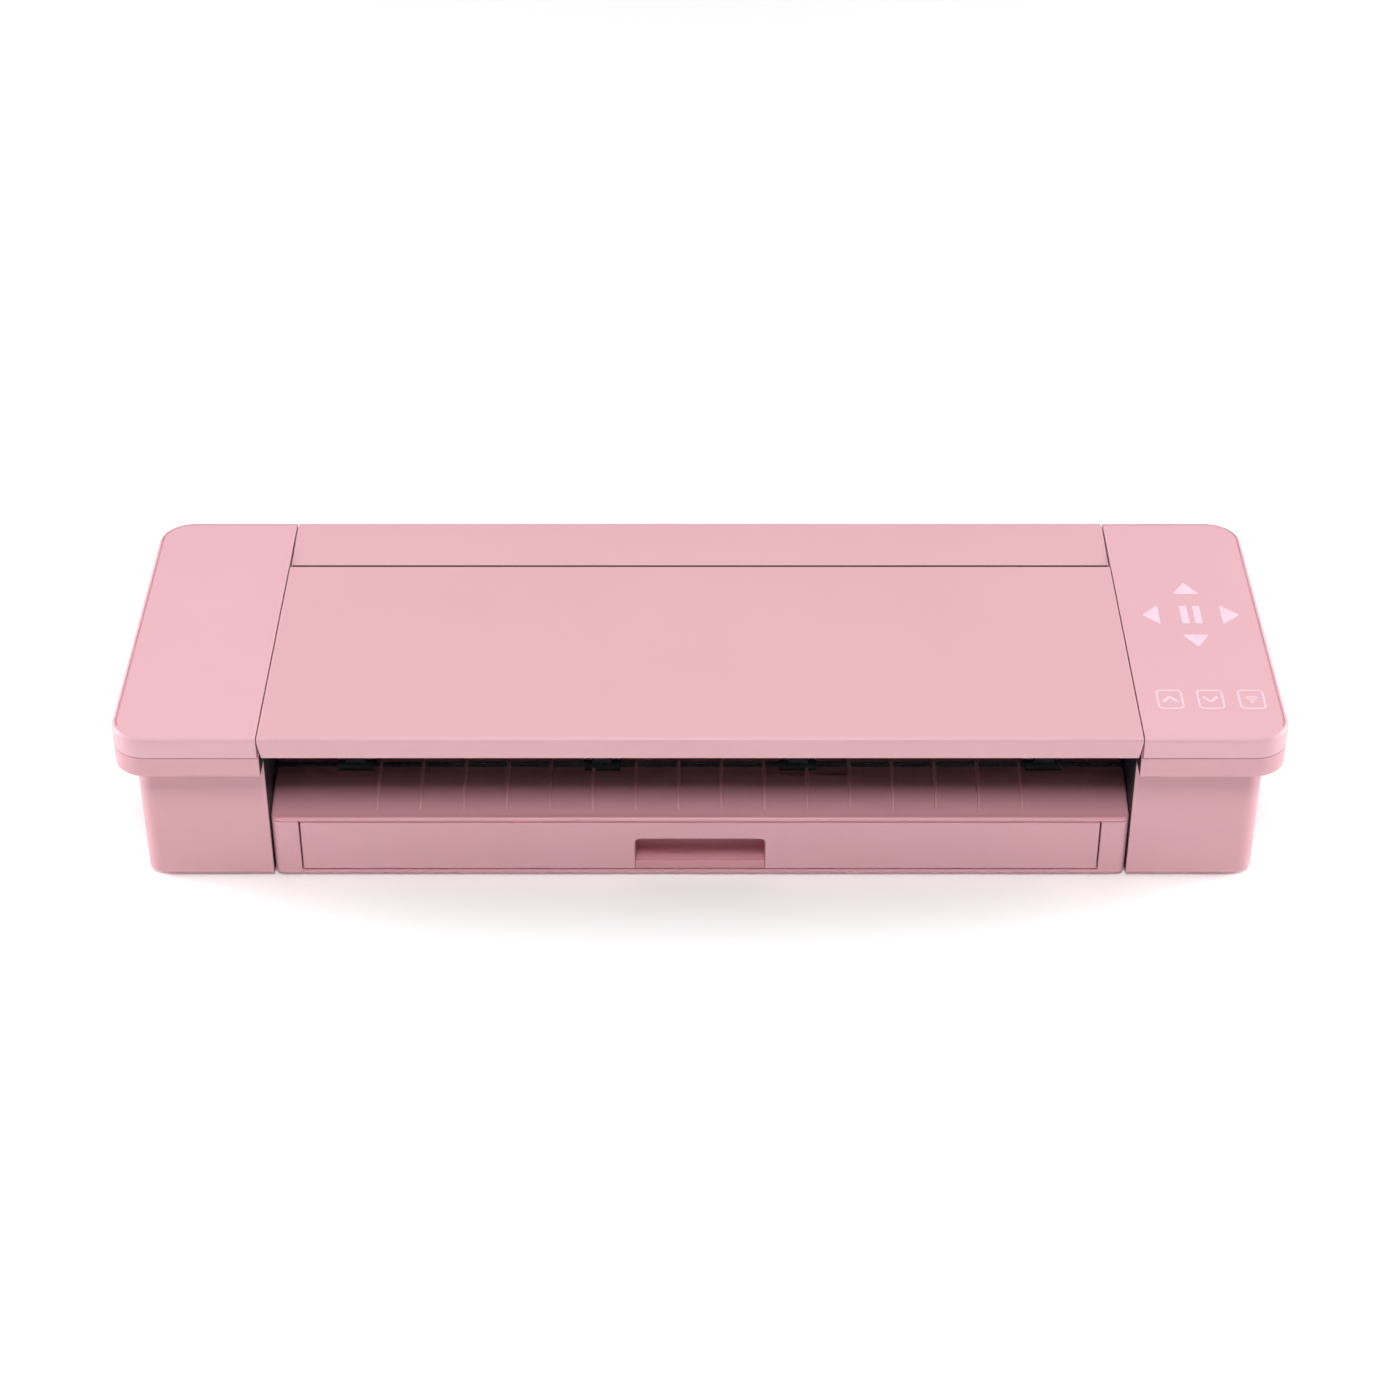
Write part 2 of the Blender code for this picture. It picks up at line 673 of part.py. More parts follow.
def build_side_plate(side, name, mat):
    x = span(side, PLATE_X, PLATE_X + SIDE_PLATE_T)
    outline = rounded((-DEPTH / 2 + 22.5 * MM, DEPTH / 2 - 22.5 * MM),
                      (BODY_Z + SHELL + GAP, CAP_Z - 2 * MM), (4 * MM,) * 4, 3)
    obj = add(name, prism(outline, "X", *x), mat)
    through = (x[0] - 1 * MM, x[1] + 1 * MM)
    cut(obj, rod("X", (FEED_Y, SHAFT_Z), SHAFT_R + GAP, *through), "shaft_hole")
    reach = PULLEY_R + 3.5 * MM
    belt = box(through, (BELT_Y - BELT_W / 2 - 2.5 * MM, BELT_Y + BELT_W / 2 + 2.5 * MM),
               (BELT_Z - reach, BELT_Z + reach))
    return cut(obj, belt, "belt_window")


def build_carriage_rail(mat):
    half = PLATE_X - GAP
    y = (RAIL_Y, RAIL_Y + RAIL_D)
    z = (RAIL_TOP - RAIL_H, RAIL_TOP)
    obj = add("carriage_rail", box((-half, half), y, z), mat)
    groove = box((-half - 1 * MM, half + 1 * MM), (y[0] - 1 * MM, y[0] + 3 * MM),
                 (z[0] + 6 * MM, z[1] - 6 * MM))
    cut(obj, groove, "front_groove")
    hollow = box((-half - 1 * MM, half + 1 * MM), (y[0] + 6 * MM, y[1] - 2 * MM),
                 (z[0] + 2.5 * MM, z[1] - 2.5 * MM))
    return cut(obj, hollow, "hollow")


def build_carriage(mat):
    front = TOOL_Y - TOOL_R - 3 * MM
    base = RAIL_TOP - RAIL_H - 3 * MM
    top = RAIL_TOP + 4 * MM
    rear = RAIL_Y + RAIL_D
    play = 0.4 * MM
    outline = [
        (front, base), (RAIL_Y - play, base), (RAIL_Y - play, RAIL_TOP + play),
        (rear + play, RAIL_TOP + play), (rear + play, RAIL_TOP - RAIL_H + 2 * MM),
        (rear + 4 * MM, RAIL_TOP - RAIL_H + 2 * MM), (rear + 4 * MM, top), (front, top),
    ]
    half = CARRIAGE_W / 2
    bm = prism(outline, "X", CARRIAGE_X - half, CARRIAGE_X + half)
    round_edges(bm, 2 * MM, 2, lambda co: co.y < front + 1e-6)
    obj = add("carriage", bm, mat, (CARRIAGE_X, RAIL_Y, RAIL_TOP))
    inside = BELT_Z - PULLEY_R + BELT_T / 2
    tab = box((CARRIAGE_X - 10 * MM, CARRIAGE_X + 10 * MM), (rear + 3 * MM, BELT_Y + 2.5 * MM),
              (inside + 1 * MM, inside + 5 * MM))
    join(obj, tab, "belt_tab")
    for label, x in (("bore_1", CARRIAGE_X - TOOL_X), ("bore_2", CARRIAGE_X + TOOL_X)):
        cut(obj, rod("Z", (x, TOOL_Y), TOOL_R + GAP, base - 1 * MM, top + 1 * MM), label)
    return obj


def build_tool(name, x, mat):
    tip = MEDIA_Z + TOOL_TIP_LIFT
    top = RAIL_TOP + 4 * MM
    profile = [
        (tip, 0), (tip, 0.8 * MM), (tip + 3 * MM, 2.5 * MM), (tip + 3 * MM, TOOL_R),
        (top + 2 * MM, TOOL_R), (top + 2 * MM, TOOL_R + 2 * MM), (top + 7 * MM, TOOL_R + 2 * MM),
        (top + 8 * MM, TOOL_R + 1 * MM), (top + 8 * MM, 0),
    ]
    return add(name, turned(profile, "Z", (x, TOOL_Y)), mat, (x, TOOL_Y, tip))


def build_belt(mat):
    outer, inner = PULLEY_R + BELT_T / 2, PULLEY_R - BELT_T / 2
    y = (BELT_Y - BELT_W / 2, BELT_Y + BELT_W / 2)
    obj = add("carriage_belt", prism(loop_outline(outer), "Y", *y), mat)
    hollow = prism(loop_outline(inner), "Y", y[0] - 1 * MM, y[1] + 1 * MM)
    return cut(obj, hollow, "inside")


def loop_outline(radius):
    points = []
    for centre, start in ((PULLEY_X, -90), (-PULLEY_X, 90)):
        for step in range(13):
            angle = math.radians(start + 180 * step / 12)
            points.append((centre + radius * math.cos(angle), BELT_Z + radius * math.sin(angle)))
    return points


def build_pulley(name, x, mat):
    seat = PULLEY_R - BELT_T / 2 - GAP
    flange = PULLEY_R + 2 * MM
    half = BELT_W / 2 + GAP
    edge = half + 1.2 * MM
    bore = 2 * MM + GAP
    profile = [
        (BELT_Y - edge, bore), (BELT_Y - edge, flange), (BELT_Y - half, flange),
        (BELT_Y - half, seat), (BELT_Y + half, seat), (BELT_Y + half, flange),
        (BELT_Y + edge, flange), (BELT_Y + edge, bore),
    ]
    return add(name, turned(profile, "Y", (x, BELT_Z), ring=True), mat, (x, BELT_Y, BELT_Z))


def build_motor(name, axis, centre, face, away, shaft_r, reach, mat):
    """A round motor whose shaft stands out of its face against the direction it lies in."""
    profile = [
        (face - away * reach, 0), (face - away * reach, shaft_r), (face - away * 2 * MM, shaft_r),
        (face - away * 2 * MM, 5 * MM), (face, 5 * MM), (face, MOTOR_R - 1 * MM),
        (face + away * 1 * MM, MOTOR_R), (face + away * (MOTOR_L - 1 * MM), MOTOR_R),
        (face + away * MOTOR_L, MOTOR_R - 1 * MM), (face + away * MOTOR_L, 0),
    ]
    return add(name, turned(profile, axis, centre, 32), mat)


def build_idler_bracket(mat):
    y = BELT_Y + BELT_W / 2 + 5 * MM
    x = (-PULLEY_X - 10 * MM, -PULLEY_X + 12 * MM)
    plate = box(x, (y, y + 2.5 * MM), (BELT_Z - 10 * MM, BELT_Z + 10 * MM))
    obj = add("idler_bracket", plate, mat)
    pin = rod("Y", (-PULLEY_X, BELT_Z), 2 * MM, BELT_Y - BELT_W / 2 - 2 * MM, y + 1 * MM)
    return join(obj, pin, "pin")


def involute(angle):
    return math.tan(angle) - angle


def gear_outline(teeth, centre, phase, shrink=0.14 * MM):
    """Spur gear teeth with involute flanks, a little thinner than nominal for backlash."""
    pitch = GEAR_MODULE * teeth / 2
    base = pitch * math.cos(math.radians(20))
    tip = pitch + 0.8 * GEAR_MODULE
    root = pitch - 1.15 * GEAR_MODULE
    half = math.pi / (2 * teeth) - shrink / pitch + involute(math.radians(20))
    flank = [(root, half)]
    for step in range(3):
        radius = max(base, root) + (tip - max(base, root)) * step / 2
        flank.append((radius, half - involute(math.acos(min(base / radius, 1)))))
    points = []
    for tooth in range(teeth):
        middle = phase + 2 * math.pi * tooth / teeth
        for radius, offset in flank:
            points.append((radius, middle - offset))
        for radius, offset in reversed(flank):
            points.append((radius, middle + offset))
    return [(centre[0] + r * math.cos(a), centre[1] + r * math.sin(a)) for r, a in points]


def build_gear(name, teeth, centre, phase, bore, mat):
    x = (GEAR_X, GEAR_X + GEAR_W)
    origin = (GEAR_X + GEAR_W / 2, *centre)
    obj = add(name, prism(gear_outline(teeth, centre, phase), "X", *x), mat, origin)
    return cut(obj, rod("X", centre, bore, x[0] - 1 * MM, x[1] + 1 * MM), "bore")


def build_feed(steel, grit, plastic):
    axis = (FEED_Y, SHAFT_Z)
    ends = (-PLATE_X - SIDE_PLATE_T - 3 * MM, GEAR_X + GEAR_W + 1 * MM)
    add("feed_shaft", rod("X", axis, SHAFT_R, *ends), steel, (0, *axis))
    for index, x in enumerate(PINCH_X):
        sleeve = tube("X", axis, GRIT_R, SHAFT_R + GAP, x - GRIT_W / 2, x + GRIT_W / 2)
        add(f"grit_sleeve_{index + 1}", sleeve, grit, (x, *axis))
    build_gear("feed_gear", GEAR_TEETH, axis, 0, SHAFT_R + GAP, plastic)
    phase = math.pi / PINION_TEETH * (1 - PINION_TEETH % 2)
    build_gear("feed_pinion", PINION_TEETH, (PINION_Y, SHAFT_Z), phase, 1.5 * MM + GAP, steel)


def build_pinch_bar(mat):
    y = (PIVOT_Y + 2 * MM, PIVOT_Y + 2 * MM + PINCH_BAR_D)
    z = (PIVOT_Z - PINCH_BAR_H / 2, PIVOT_Z + PINCH_BAR_H / 2)
    half = INNER_X - GAP
    obj = add("pinch_bar", box((-half, half), y, z), mat)
    for index, x in enumerate(PINCH_X):
        lug = box((x - 2.8 * MM, x + 2.8 * MM), (PIVOT_Y - 2.5 * MM, y[0] + 1 * MM),
                  (PIVOT_Z - 2.5 * MM, PIVOT_Z + 2.5 * MM))
        join(obj, lug, f"lug_{index + 1}")
        reach = PINCH_W / 2 + 0.6 * MM + ARM_CHEEK - GAP
        pin = rod("X", (PIVOT_Y, PIVOT_Z), PIVOT_R, x - reach, x + reach, 16)
        join(obj, pin, f"pin_{index + 1}")
    return obj


def build_pinch_arm(mat):
    x = PINCH_X[0]
    rear = PIVOT_Y + 1.2 * MM
    outline = [
        (rear, PIVOT_Z + 3.5 * MM), (PIVOT_Y - 3.5 * MM, PIVOT_Z + 3.5 * MM),
        (FEED_Y - 4 * MM, PINCH_Z + 5 * MM), (FEED_Y - 4 * MM, PINCH_Z - 2 * MM),
        (FEED_Y - 2.5 * MM, PINCH_Z - 3.5 * MM), (FEED_Y + 2.5 * MM, PINCH_Z - 3.5 * MM),
        (rear, PIVOT_Z - 4.5 * MM),
    ]
    inner = PINCH_W / 2 + 0.6 * MM
    half = inner + ARM_CHEEK
    bm = prism(outline, "X", x - half, x + half)
    obj = add("pinch_arm_1", bm, mat, (x, PIVOT_Y, PIVOT_Z))
    web = PINCH_Z + PINCH_R + 0.8 * MM
    cut(obj, box((x - inner, x + inner), (FEED_Y - 9 * MM, PIVOT_Y + 9 * MM),
                 (PINCH_Z - 9 * MM, web)), "roller_slot")
    cut(obj, box((x - 3.5 * MM, x + 3.5 * MM), (FEED_Y - 9 * MM, PIVOT_Y + 9 * MM),
                 (PIVOT_Z - 3.6 * MM, PIVOT_Z + 9 * MM)), "lug_slot")
    ends = (x - half - 1 * MM, x + half + 1 * MM)
    cut(obj, rod("X", (PIVOT_Y, PIVOT_Z), PIVOT_R + GAP, *ends, 16), "pivot_hole")
    cut(obj, rod("X", (FEED_Y, PINCH_Z), PINCH_AXLE_R + GAP, *ends, 16), "axle_hole")
    for index in range(1, len(PINCH_X)):
        copy_of(obj, f"pinch_arm_{index + 1}", PINCH_X[index] - x)


def build_pinch_rollers(mat):
    for index, x in enumerate(PINCH_X):
        half = PINCH_W / 2
        reach = half + 0.6 * MM + ARM_CHEEK - GAP
        profile = [
            (x - reach, 0), (x - reach, PINCH_AXLE_R), (x - half, PINCH_AXLE_R),
            (x - half, PINCH_R), (x + half, PINCH_R), (x + half, PINCH_AXLE_R),
            (x + reach, PINCH_AXLE_R), (x + reach, 0),
        ]
        bm = turned(profile, "X", (FEED_Y, PINCH_Z))
        add(f"pinch_roller_{index + 1}", bm, mat, (x, FEED_Y, PINCH_Z))


def build_button(button, mat):
    face = BODY_X + 0.6 * MM
    inside = BODY_X - SHELL - 2 * GAP
    profile = [
        (inside - 1.5 * MM, 0), (inside - 1.5 * MM, button["r"] + 1.5 * MM),
        (inside, button["r"] + 1.5 * MM), (inside, button["r"]), (face - 0.5 * MM, button["r"]),
        (face, button["r"] - 0.5 * MM), (face, 0),
    ]
    bm = turned(profile, "X", (button["y"], button["z"]), 32)
    return add("power_button", bm, mat, (face, button["y"], button["z"]))


def build_socket(name, piece, depth, mouth, mat):
    """A socket body let into the rear wall, with a blind mouth facing the rear."""
    y = (BODY_REAR - depth, BODY_REAR - GAP)
    obj = add(name, box(piece["x"], y, piece["z"]), mat)
    return cut(obj, mouth(piece, (y[1] - depth + 3 * MM, y[1] + 1 * MM)), "mouth")


def round_mouth(piece, y):
    centre = (sum(piece["x"]) / 2, sum(piece["z"]) / 2)
    return tube("Y", centre, 3.2 * MM, 1 * MM, *y)


def square_mouth(piece, y):
    wall = 1.2 * MM
    x = (piece["x"][0] + wall, piece["x"][1] - wall)
    z = (piece["z"][0] + wall, piece["z"][1] - wall)
    return box(x, y, z)


def build_boards(mat):
    add("main_board", box((-BAY_X + 20 * MM, -BAY_X + 160 * MM),
                          (DIVIDER_Y + 5 * MM, DIVIDER_Y + 43 * MM),
                          (BED_FLOOR_Z + BED_FLOOR_T + 3 * MM,
                           BED_FLOOR_Z + BED_FLOOR_T + 4.6 * MM)), mat)
    top = HEIGHT - TOP_T - GAP
    add("touch_board", box((MID + 10 * MM, WIDTH / 2 - 8 * MM),
                           (FRONT + 22 * MM, FRONT + 122 * MM), (top - 1.6 * MM, top)), mat)


def build():
    clear_scene()
    shell = material("pink_shell", PINK, 0.42)
    deep = material("pink_moulding", PINK_DEEP, 0.5)
    graphite = material("graphite_plastic", GRAPHITE, 0.5)
    steel = material("zinc_plated_steel", STEEL, 0.35, 1.0)
    aluminium = material("extruded_aluminium", ALUMINIUM, 0.38, 1.0)
    rubber = material("rubber", RUBBER, 0.8)
    white = material("white_acetal", WHITE, 0.4)
    brass = material("brass", BRASS, 0.3, 1.0)
    board = material("circuit_board", BOARD, 0.45)
    grit = material("grit_coating", GRIT, 0.85, 0.6)
    silicone = material("cutting_mat_strip", "e9e6e0", 0.6)

    button = {"y": FRONT + 57.5 * MM, "z": 50 * MM, "r": 6 * MM}
    inlet_x = MID + 30 * MM
    inlet = {"x": (inlet_x, inlet_x + 10 * MM), "z": (15 * MM, 25 * MM)}
    usb = {"x": (inlet_x - 18 * MM, inlet_x - 6 * MM), "z": (15 * MM, 26 * MM)}

    for side, across in ((-1, "left"), (1, "right")):
        housing = build_housing(side, f"housing_{across}", shell)
        if side > 0:
            build_right_openings(housing, button, inlet, usb)
        build_end_cap(side, f"end_cap_{across}", shell)
        build_lid_track(side, f"lid_track_{across}", graphite)
        build_lid_runner(side, f"lid_runner_{across}", graphite)
        build_side_plate(side, f"side_plate_{across}", steel)
        build_drawer_roller(side, f"drawer_roller_{across}", white)
    build_feet(rubber)
    build_lid(shell)
    build_rear_strip(shell)
    build_rear_cover(shell)
    build_bed_frame(shell)
    build_bed(shell)
    build_drawer(shell)
    build_drawer_pull(deep)

    half = STRIP_LENGTH / 2
    strip_y = (TOOL_Y - STRIP_W / 2, TOOL_Y + STRIP_W / 2)
    add("cutting_strip", box((-half, half), strip_y, (BED_Z - 1 * MM + GAP, MEDIA_Z - 0.2 * MM)),
        silicone)
    build_feed(steel, grit, white)
    build_pinch_bar(steel)
    build_pinch_arm(graphite)
    build_pinch_rollers(rubber)

    build_carriage_rail(aluminium)
    build_carriage(graphite)
    build_tool("cutting_tool", CARRIAGE_X - TOOL_X, white)
    build_tool("pen_tool", CARRIAGE_X + TOOL_X, deep)
    build_belt(rubber)
    build_pulley("drive_pulley", PULLEY_X, aluminium)
    build_pulley("idler_pulley", -PULLEY_X, aluminium)
    build_idler_bracket(steel)
    build_motor("carriage_motor", "Y", (PULLEY_X, BELT_Z), BELT_Y + BELT_W / 2 + 6 * MM, 1,
                2 * MM, 14 * MM, steel)
    build_motor("feed_motor", "X", (PINION_Y, SHAFT_Z), FEED_MOTOR_X, 1, 1.5 * MM,
                GEAR_W + 3.5 * MM, steel)

    build_button(button, graphite)
    build_socket("dc_inlet", inlet, 11 * MM, round_mouth, graphite)
    build_socket("usb_socket", usb, 14 * MM, square_mouth, brass)
    build_boards(board)


build()
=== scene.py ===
# %% [markdown]
# # A flat die cutting machine
# The real machine is a plotter-type craft cutter: a wide, low body of pink moulded plastic with a
# lid that slides back, a ribbed bed that the sheet slides in on, and a shallow drawer below it.
# The mechanical frame is finished already, with every size and joint in place. This notebook puts
# smooth, finely edged shells and real finishes on it, one piece at a time.

import math

import bmesh
import bpy
from mathutils import Matrix, Vector


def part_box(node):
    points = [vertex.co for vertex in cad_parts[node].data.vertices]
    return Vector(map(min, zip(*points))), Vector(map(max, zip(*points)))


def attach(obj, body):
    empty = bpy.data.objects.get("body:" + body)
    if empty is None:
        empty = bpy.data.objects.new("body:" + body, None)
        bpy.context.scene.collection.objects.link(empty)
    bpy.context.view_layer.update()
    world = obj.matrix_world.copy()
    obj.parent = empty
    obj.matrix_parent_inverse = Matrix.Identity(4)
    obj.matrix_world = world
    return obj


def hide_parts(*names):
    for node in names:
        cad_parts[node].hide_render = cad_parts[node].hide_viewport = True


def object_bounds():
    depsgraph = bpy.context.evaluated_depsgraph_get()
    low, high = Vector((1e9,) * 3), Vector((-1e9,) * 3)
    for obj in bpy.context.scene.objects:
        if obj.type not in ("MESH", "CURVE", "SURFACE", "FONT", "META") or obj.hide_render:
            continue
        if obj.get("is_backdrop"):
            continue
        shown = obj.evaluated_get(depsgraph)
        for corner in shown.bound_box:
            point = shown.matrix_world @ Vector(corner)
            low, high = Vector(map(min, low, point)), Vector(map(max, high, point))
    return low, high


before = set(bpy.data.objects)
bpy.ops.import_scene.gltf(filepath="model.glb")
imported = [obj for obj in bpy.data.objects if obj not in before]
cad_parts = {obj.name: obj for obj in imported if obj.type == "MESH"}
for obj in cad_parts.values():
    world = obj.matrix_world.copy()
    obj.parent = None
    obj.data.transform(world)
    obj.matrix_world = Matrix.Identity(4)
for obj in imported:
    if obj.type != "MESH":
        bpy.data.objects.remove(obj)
cad_low, cad_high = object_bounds()
print("frame box in metres:", [round(value, 4) for value in (*cad_low, *cad_high)])

# %% [markdown]
# ## Camera
# A tabletop machine like this is usually pictured from standing height, looking down at about
# 35 degrees with a long lens, so the far edge is only a little narrower than the near one. A
# perspective camera with a 79 mm lens gives that. An orthographic one would lose the narrowing.

# %% Camera
MM = 0.001
camera_data = bpy.data.cameras.new("long_lens")
camera_data.lens = 78.8
camera_data.sensor_width = 36
camera_data.clip_start = 0.05
camera = bpy.data.objects.new("camera", camera_data)
camera.location = (0, -1282.8 * MM, 962.6 * MM)
camera.rotation_euler = (math.radians(90 - 35.5), 0, 0)
bpy.context.scene.collection.objects.link(camera)
bpy.context.scene.camera = camera
bpy.context.scene.view_settings.view_transform = "Standard"
print("camera looks down at 35.5 degrees")

# %% [markdown]
# ## Colour, and one way to add a node
# Paint and plastic colours are easiest to note as sRGB hex values, but shaders work in linear
# light, so one function converts them. A second small function adds any node, with its settings
# and with its inputs either linked or set, which keeps each material below short.

# %% Colour and node helpers
def linear_colour(hex_code, alpha=1.0):
    """An sRGB hex colour as the linear values a shader takes."""
    channels = []
    for start in (0, 2, 4):
        value = int(hex_code[start:start + 2], 16) / 255
        channels.append(value / 12.92 if value <= 0.04045 else ((value + 0.055) / 1.055) ** 2.4)
    return (*channels, alpha)


def add_node(tree, kind, inputs=None, **settings):
    """Adds a node, sets its options, and links or sets its inputs."""
    node = tree.nodes.new(kind)
    for name, value in settings.items():
        setattr(node, name, value)
    for name, value in (inputs or {}).items():
        if isinstance(value, bpy.types.NodeSocket):
            tree.links.new(value, node.inputs[name])
        else:
            node.inputs[name].default_value = value
    return node


def new_material(name):
    """An empty material with its shader and the piece's own coordinates."""
    made = bpy.data.materials.new(name)
    made.use_nodes = True
    tree = made.node_tree
    place = add_node(tree, "ShaderNodeTexCoord").outputs["Object"]
    return made, tree, tree.nodes["Principled BSDF"], place


def two_tones(tree, factor, low, high, first="000000", second="ffffff"):
    """A colour that goes from one tone to another as the factor goes from low to high."""
    ramp = add_node(tree, "ShaderNodeValToRGB", {"Fac": factor})
    ramp.color_ramp.elements[0].position = low
    ramp.color_ramp.elements[1].position = high
    ramp.color_ramp.elements[0].color = linear_colour(first)
    ramp.color_ramp.elements[1].color = linear_colour(second)
    return ramp.outputs["Color"]


# %% [markdown]
# ## Floor and light
# The machine stands on a seamless pale sweep. A soft key light stands high in front, another hangs
# behind the machine and washes the floor, and two lower ones light the ends. The light falls
# steeply, so the front faces read a shade darker than the lid. Area lights give soft shadows. Far
# from the machine the paper glows a little, so that it stays pale to the horizon.

# %% Floor, sky and lights
def soft_light(name, place, target, size, watts):
    """A square area light aimed at a point."""
    data = bpy.data.lights.new(name, "AREA")
    data.size = size
    data.energy = watts
    lamp = bpy.data.objects.new(name, data)
    lamp.location = place
    aim = Vector(target) - Vector(place)
    lamp.rotation_euler = aim.to_track_quat("-Z", "Y").to_euler()
    bpy.context.scene.collection.objects.link(lamp)
    return lamp


sweep_paper, tree, shader, place = new_material("pale_sweep_paper")
fibre = add_node(tree, "ShaderNodeTexNoise", {"Vector": place, "Scale": 900.0, "Detail": 2.0})
fibre_bump = add_node(tree, "ShaderNodeBump", {"Height": fibre.outputs["Fac"],
                                               "Strength": 0.05, "Distance": 0.02 * MM})
tree.links.new(fibre_bump.outputs["Normal"], shader.inputs["Normal"])
shader.inputs["Base Color"].default_value = linear_colour("ffffff")
shader.inputs["Roughness"].default_value = 0.9
shader.inputs["Specular IOR Level"].default_value = 0.1
shader.inputs["Emission Color"].default_value = linear_colour("ffffff")
away = add_node(tree, "ShaderNodeVectorMath", {0: place}, operation="LENGTH")
wash = add_node(tree, "ShaderNodeMapRange", {"Value": away.outputs["Value"],
                                             "From Min": 0.9, "From Max": 3.2,
                                             "To Min": 0.11, "To Max": 0.9})
tree.links.new(wash.outputs["Result"], shader.inputs["Emission Strength"])

bpy.ops.mesh.primitive_plane_add(size=60, location=(0, 0, 0))
floor = bpy.context.object
floor.name = "floor"
floor.data.materials.append(sweep_paper)
floor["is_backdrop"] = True

sky = bpy.data.worlds.new("studio")
sky.use_nodes = True
sky.node_tree.nodes["Background"].inputs["Color"].default_value = linear_colour("ffffff")
sky.node_tree.nodes["Background"].inputs["Strength"].default_value = 0.06
bpy.context.scene.world = sky

MACHINE = (0, 0, 0.05)
soft_light("front_key", (0, -1.17, 1.92), MACHINE, 0.66, 27.5)
soft_light("overhead", (0, 0.8, 2.1), (0, 0.75, 0), 1.3, 12)
soft_light("left_end", (-1.6, 0.24, 0.6), MACHINE, 0.7, 22)
soft_light("right_end", (1.6, 0.24, 0.6), MACHINE, 0.7, 22)
print("lights: 4")

# %% [markdown]
# ## Pink moulded plastic
# The shells are ABS, injection moulded in a tool with a fine spark-eroded texture. That gives a
# satin skin: soft, wide highlights, and a grain of about a third of a millimetre that only shows
# close up. The colour varies very slightly with the flow of the plastic. Noise textures give all
# three, each at its own real scale, so nothing depends on an image.

# %% Pink ABS
def moulded_abs(name, tone, paler, rough_low, rough_high, grain_mm=0.35, grain_depth=0.012):
    """Injection-moulded ABS with a spark-eroded texture."""
    made, tree, shader, place = new_material(name)
    flow = add_node(tree, "ShaderNodeTexNoise", {"Vector": place, "Scale": 1 / (90 * MM),
                                                 "Detail": 3.0})
    tree.links.new(two_tones(tree, flow.outputs["Fac"], 0.3, 0.7, tone, paler),
                   shader.inputs["Base Color"])
    sheen = add_node(tree, "ShaderNodeTexNoise", {"Vector": place, "Scale": 1 / (14 * MM),
                                                  "Detail": 4.0, "Roughness": 0.6})
    rough = add_node(tree, "ShaderNodeMapRange", {"Value": sheen.outputs["Fac"],
                                                  "To Min": rough_low, "To Max": rough_high})
    tree.links.new(rough.outputs["Result"], shader.inputs["Roughness"])
    grain = add_node(tree, "ShaderNodeTexNoise", {"Vector": place, "Scale": 1 / (grain_mm * MM),
                                                  "Detail": 2.0})
    bump = add_node(tree, "ShaderNodeBump", {"Height": grain.outputs["Fac"], "Strength": 0.5,
                                             "Distance": grain_depth * MM})
    tree.links.new(bump.outputs["Normal"], shader.inputs["Normal"])
    shader.inputs["IOR"].default_value = 1.53
    return made


# The same plastic in five finishes: the caps, the lid and strip, the body, the scoop that fingers
# touch, and the bed, which is polished so that a sheet slides on it. The body's deeper tone, the
# scoop's darker tone and the bed's redder tone are painted shade.
pink_shell = moulded_abs("moulded_abs_pink", "e1afb8", "e3b2bb", 0.36, 0.46)
pink_lid = moulded_abs("moulded_abs_pink_lid", "deacb4", "e0aeb6", 0.34, 0.43)
# The body's deeper, redder tone is painted shade, as on its shaded fronts; its rougher skin is
# real.
body_pink_painted_shade = moulded_abs("moulded_abs_body_pink_painted_shade", "d9a3ab", "daa5ae", 0.42, 0.52)
# The scoop's darker tone is painted shade in the finger hollow.
scoop_pink_painted_shade = moulded_abs("moulded_abs_scoop_pink_painted_shade", "d298a2", "d49ba4", 0.5, 0.6)
# The bed's redder tone is painted shade of the dim mouth; its lower roughness is the real polish.
bed_pink_painted_shade = moulded_abs("polished_abs_bed_pink_painted_shade", "e0a0aa", "e2a2ac", 0.3, 0.4, 0.5, 0.006)

# %% [markdown]
# ## The dark and bright working parts
# Inside are glass-filled nylon, rubber, zinc-plated steel, extruded aluminium and a few small
# materials. Each starts from what it is: nylon is dark with pale fibre flecks, extrusion leaves
# long fine lines along the part, plating leaves a soft mottle, and rubber is matt with a bloom.
# The pinch arms' nylon is given a red-brown tint, which is painted reddish bounce light and shade
# from the pink walls around them.

# %% Working materials
def flecked(name, tone, fleck, grain_mm, rough, depth_mm, metal=0.0, stretch=(1, 1, 1)):
    """A body colour with a second tone in specks, and the same specks as a bump."""
    made, tree, shader, place = new_material(name)
    turned = add_node(tree, "ShaderNodeMapping", {"Vector": place, "Scale": stretch})
    specks = add_node(tree, "ShaderNodeTexNoise", {"Vector": turned.outputs["Vector"],
                                                   "Scale": 1 / (grain_mm * MM), "Detail": 3.0})
    tree.links.new(two_tones(tree, specks.outputs["Fac"], 0.42, 0.72, tone, fleck),
                   shader.inputs["Base Color"])
    cloud = add_node(tree, "ShaderNodeTexNoise", {"Vector": place, "Scale": 1 / (11 * MM),
                                                  "Detail": 4.0})
    worn = add_node(tree, "ShaderNodeMapRange", {"Value": cloud.outputs["Fac"],
                                                 "To Min": rough - 0.07, "To Max": rough + 0.07})
    tree.links.new(worn.outputs["Result"], shader.inputs["Roughness"])
    bump = add_node(tree, "ShaderNodeBump", {"Height": specks.outputs["Fac"], "Strength": 0.6,
                                             "Distance": depth_mm * MM})
    tree.links.new(bump.outputs["Normal"], shader.inputs["Normal"])
    shader.inputs["Metallic"].default_value = metal
    return made


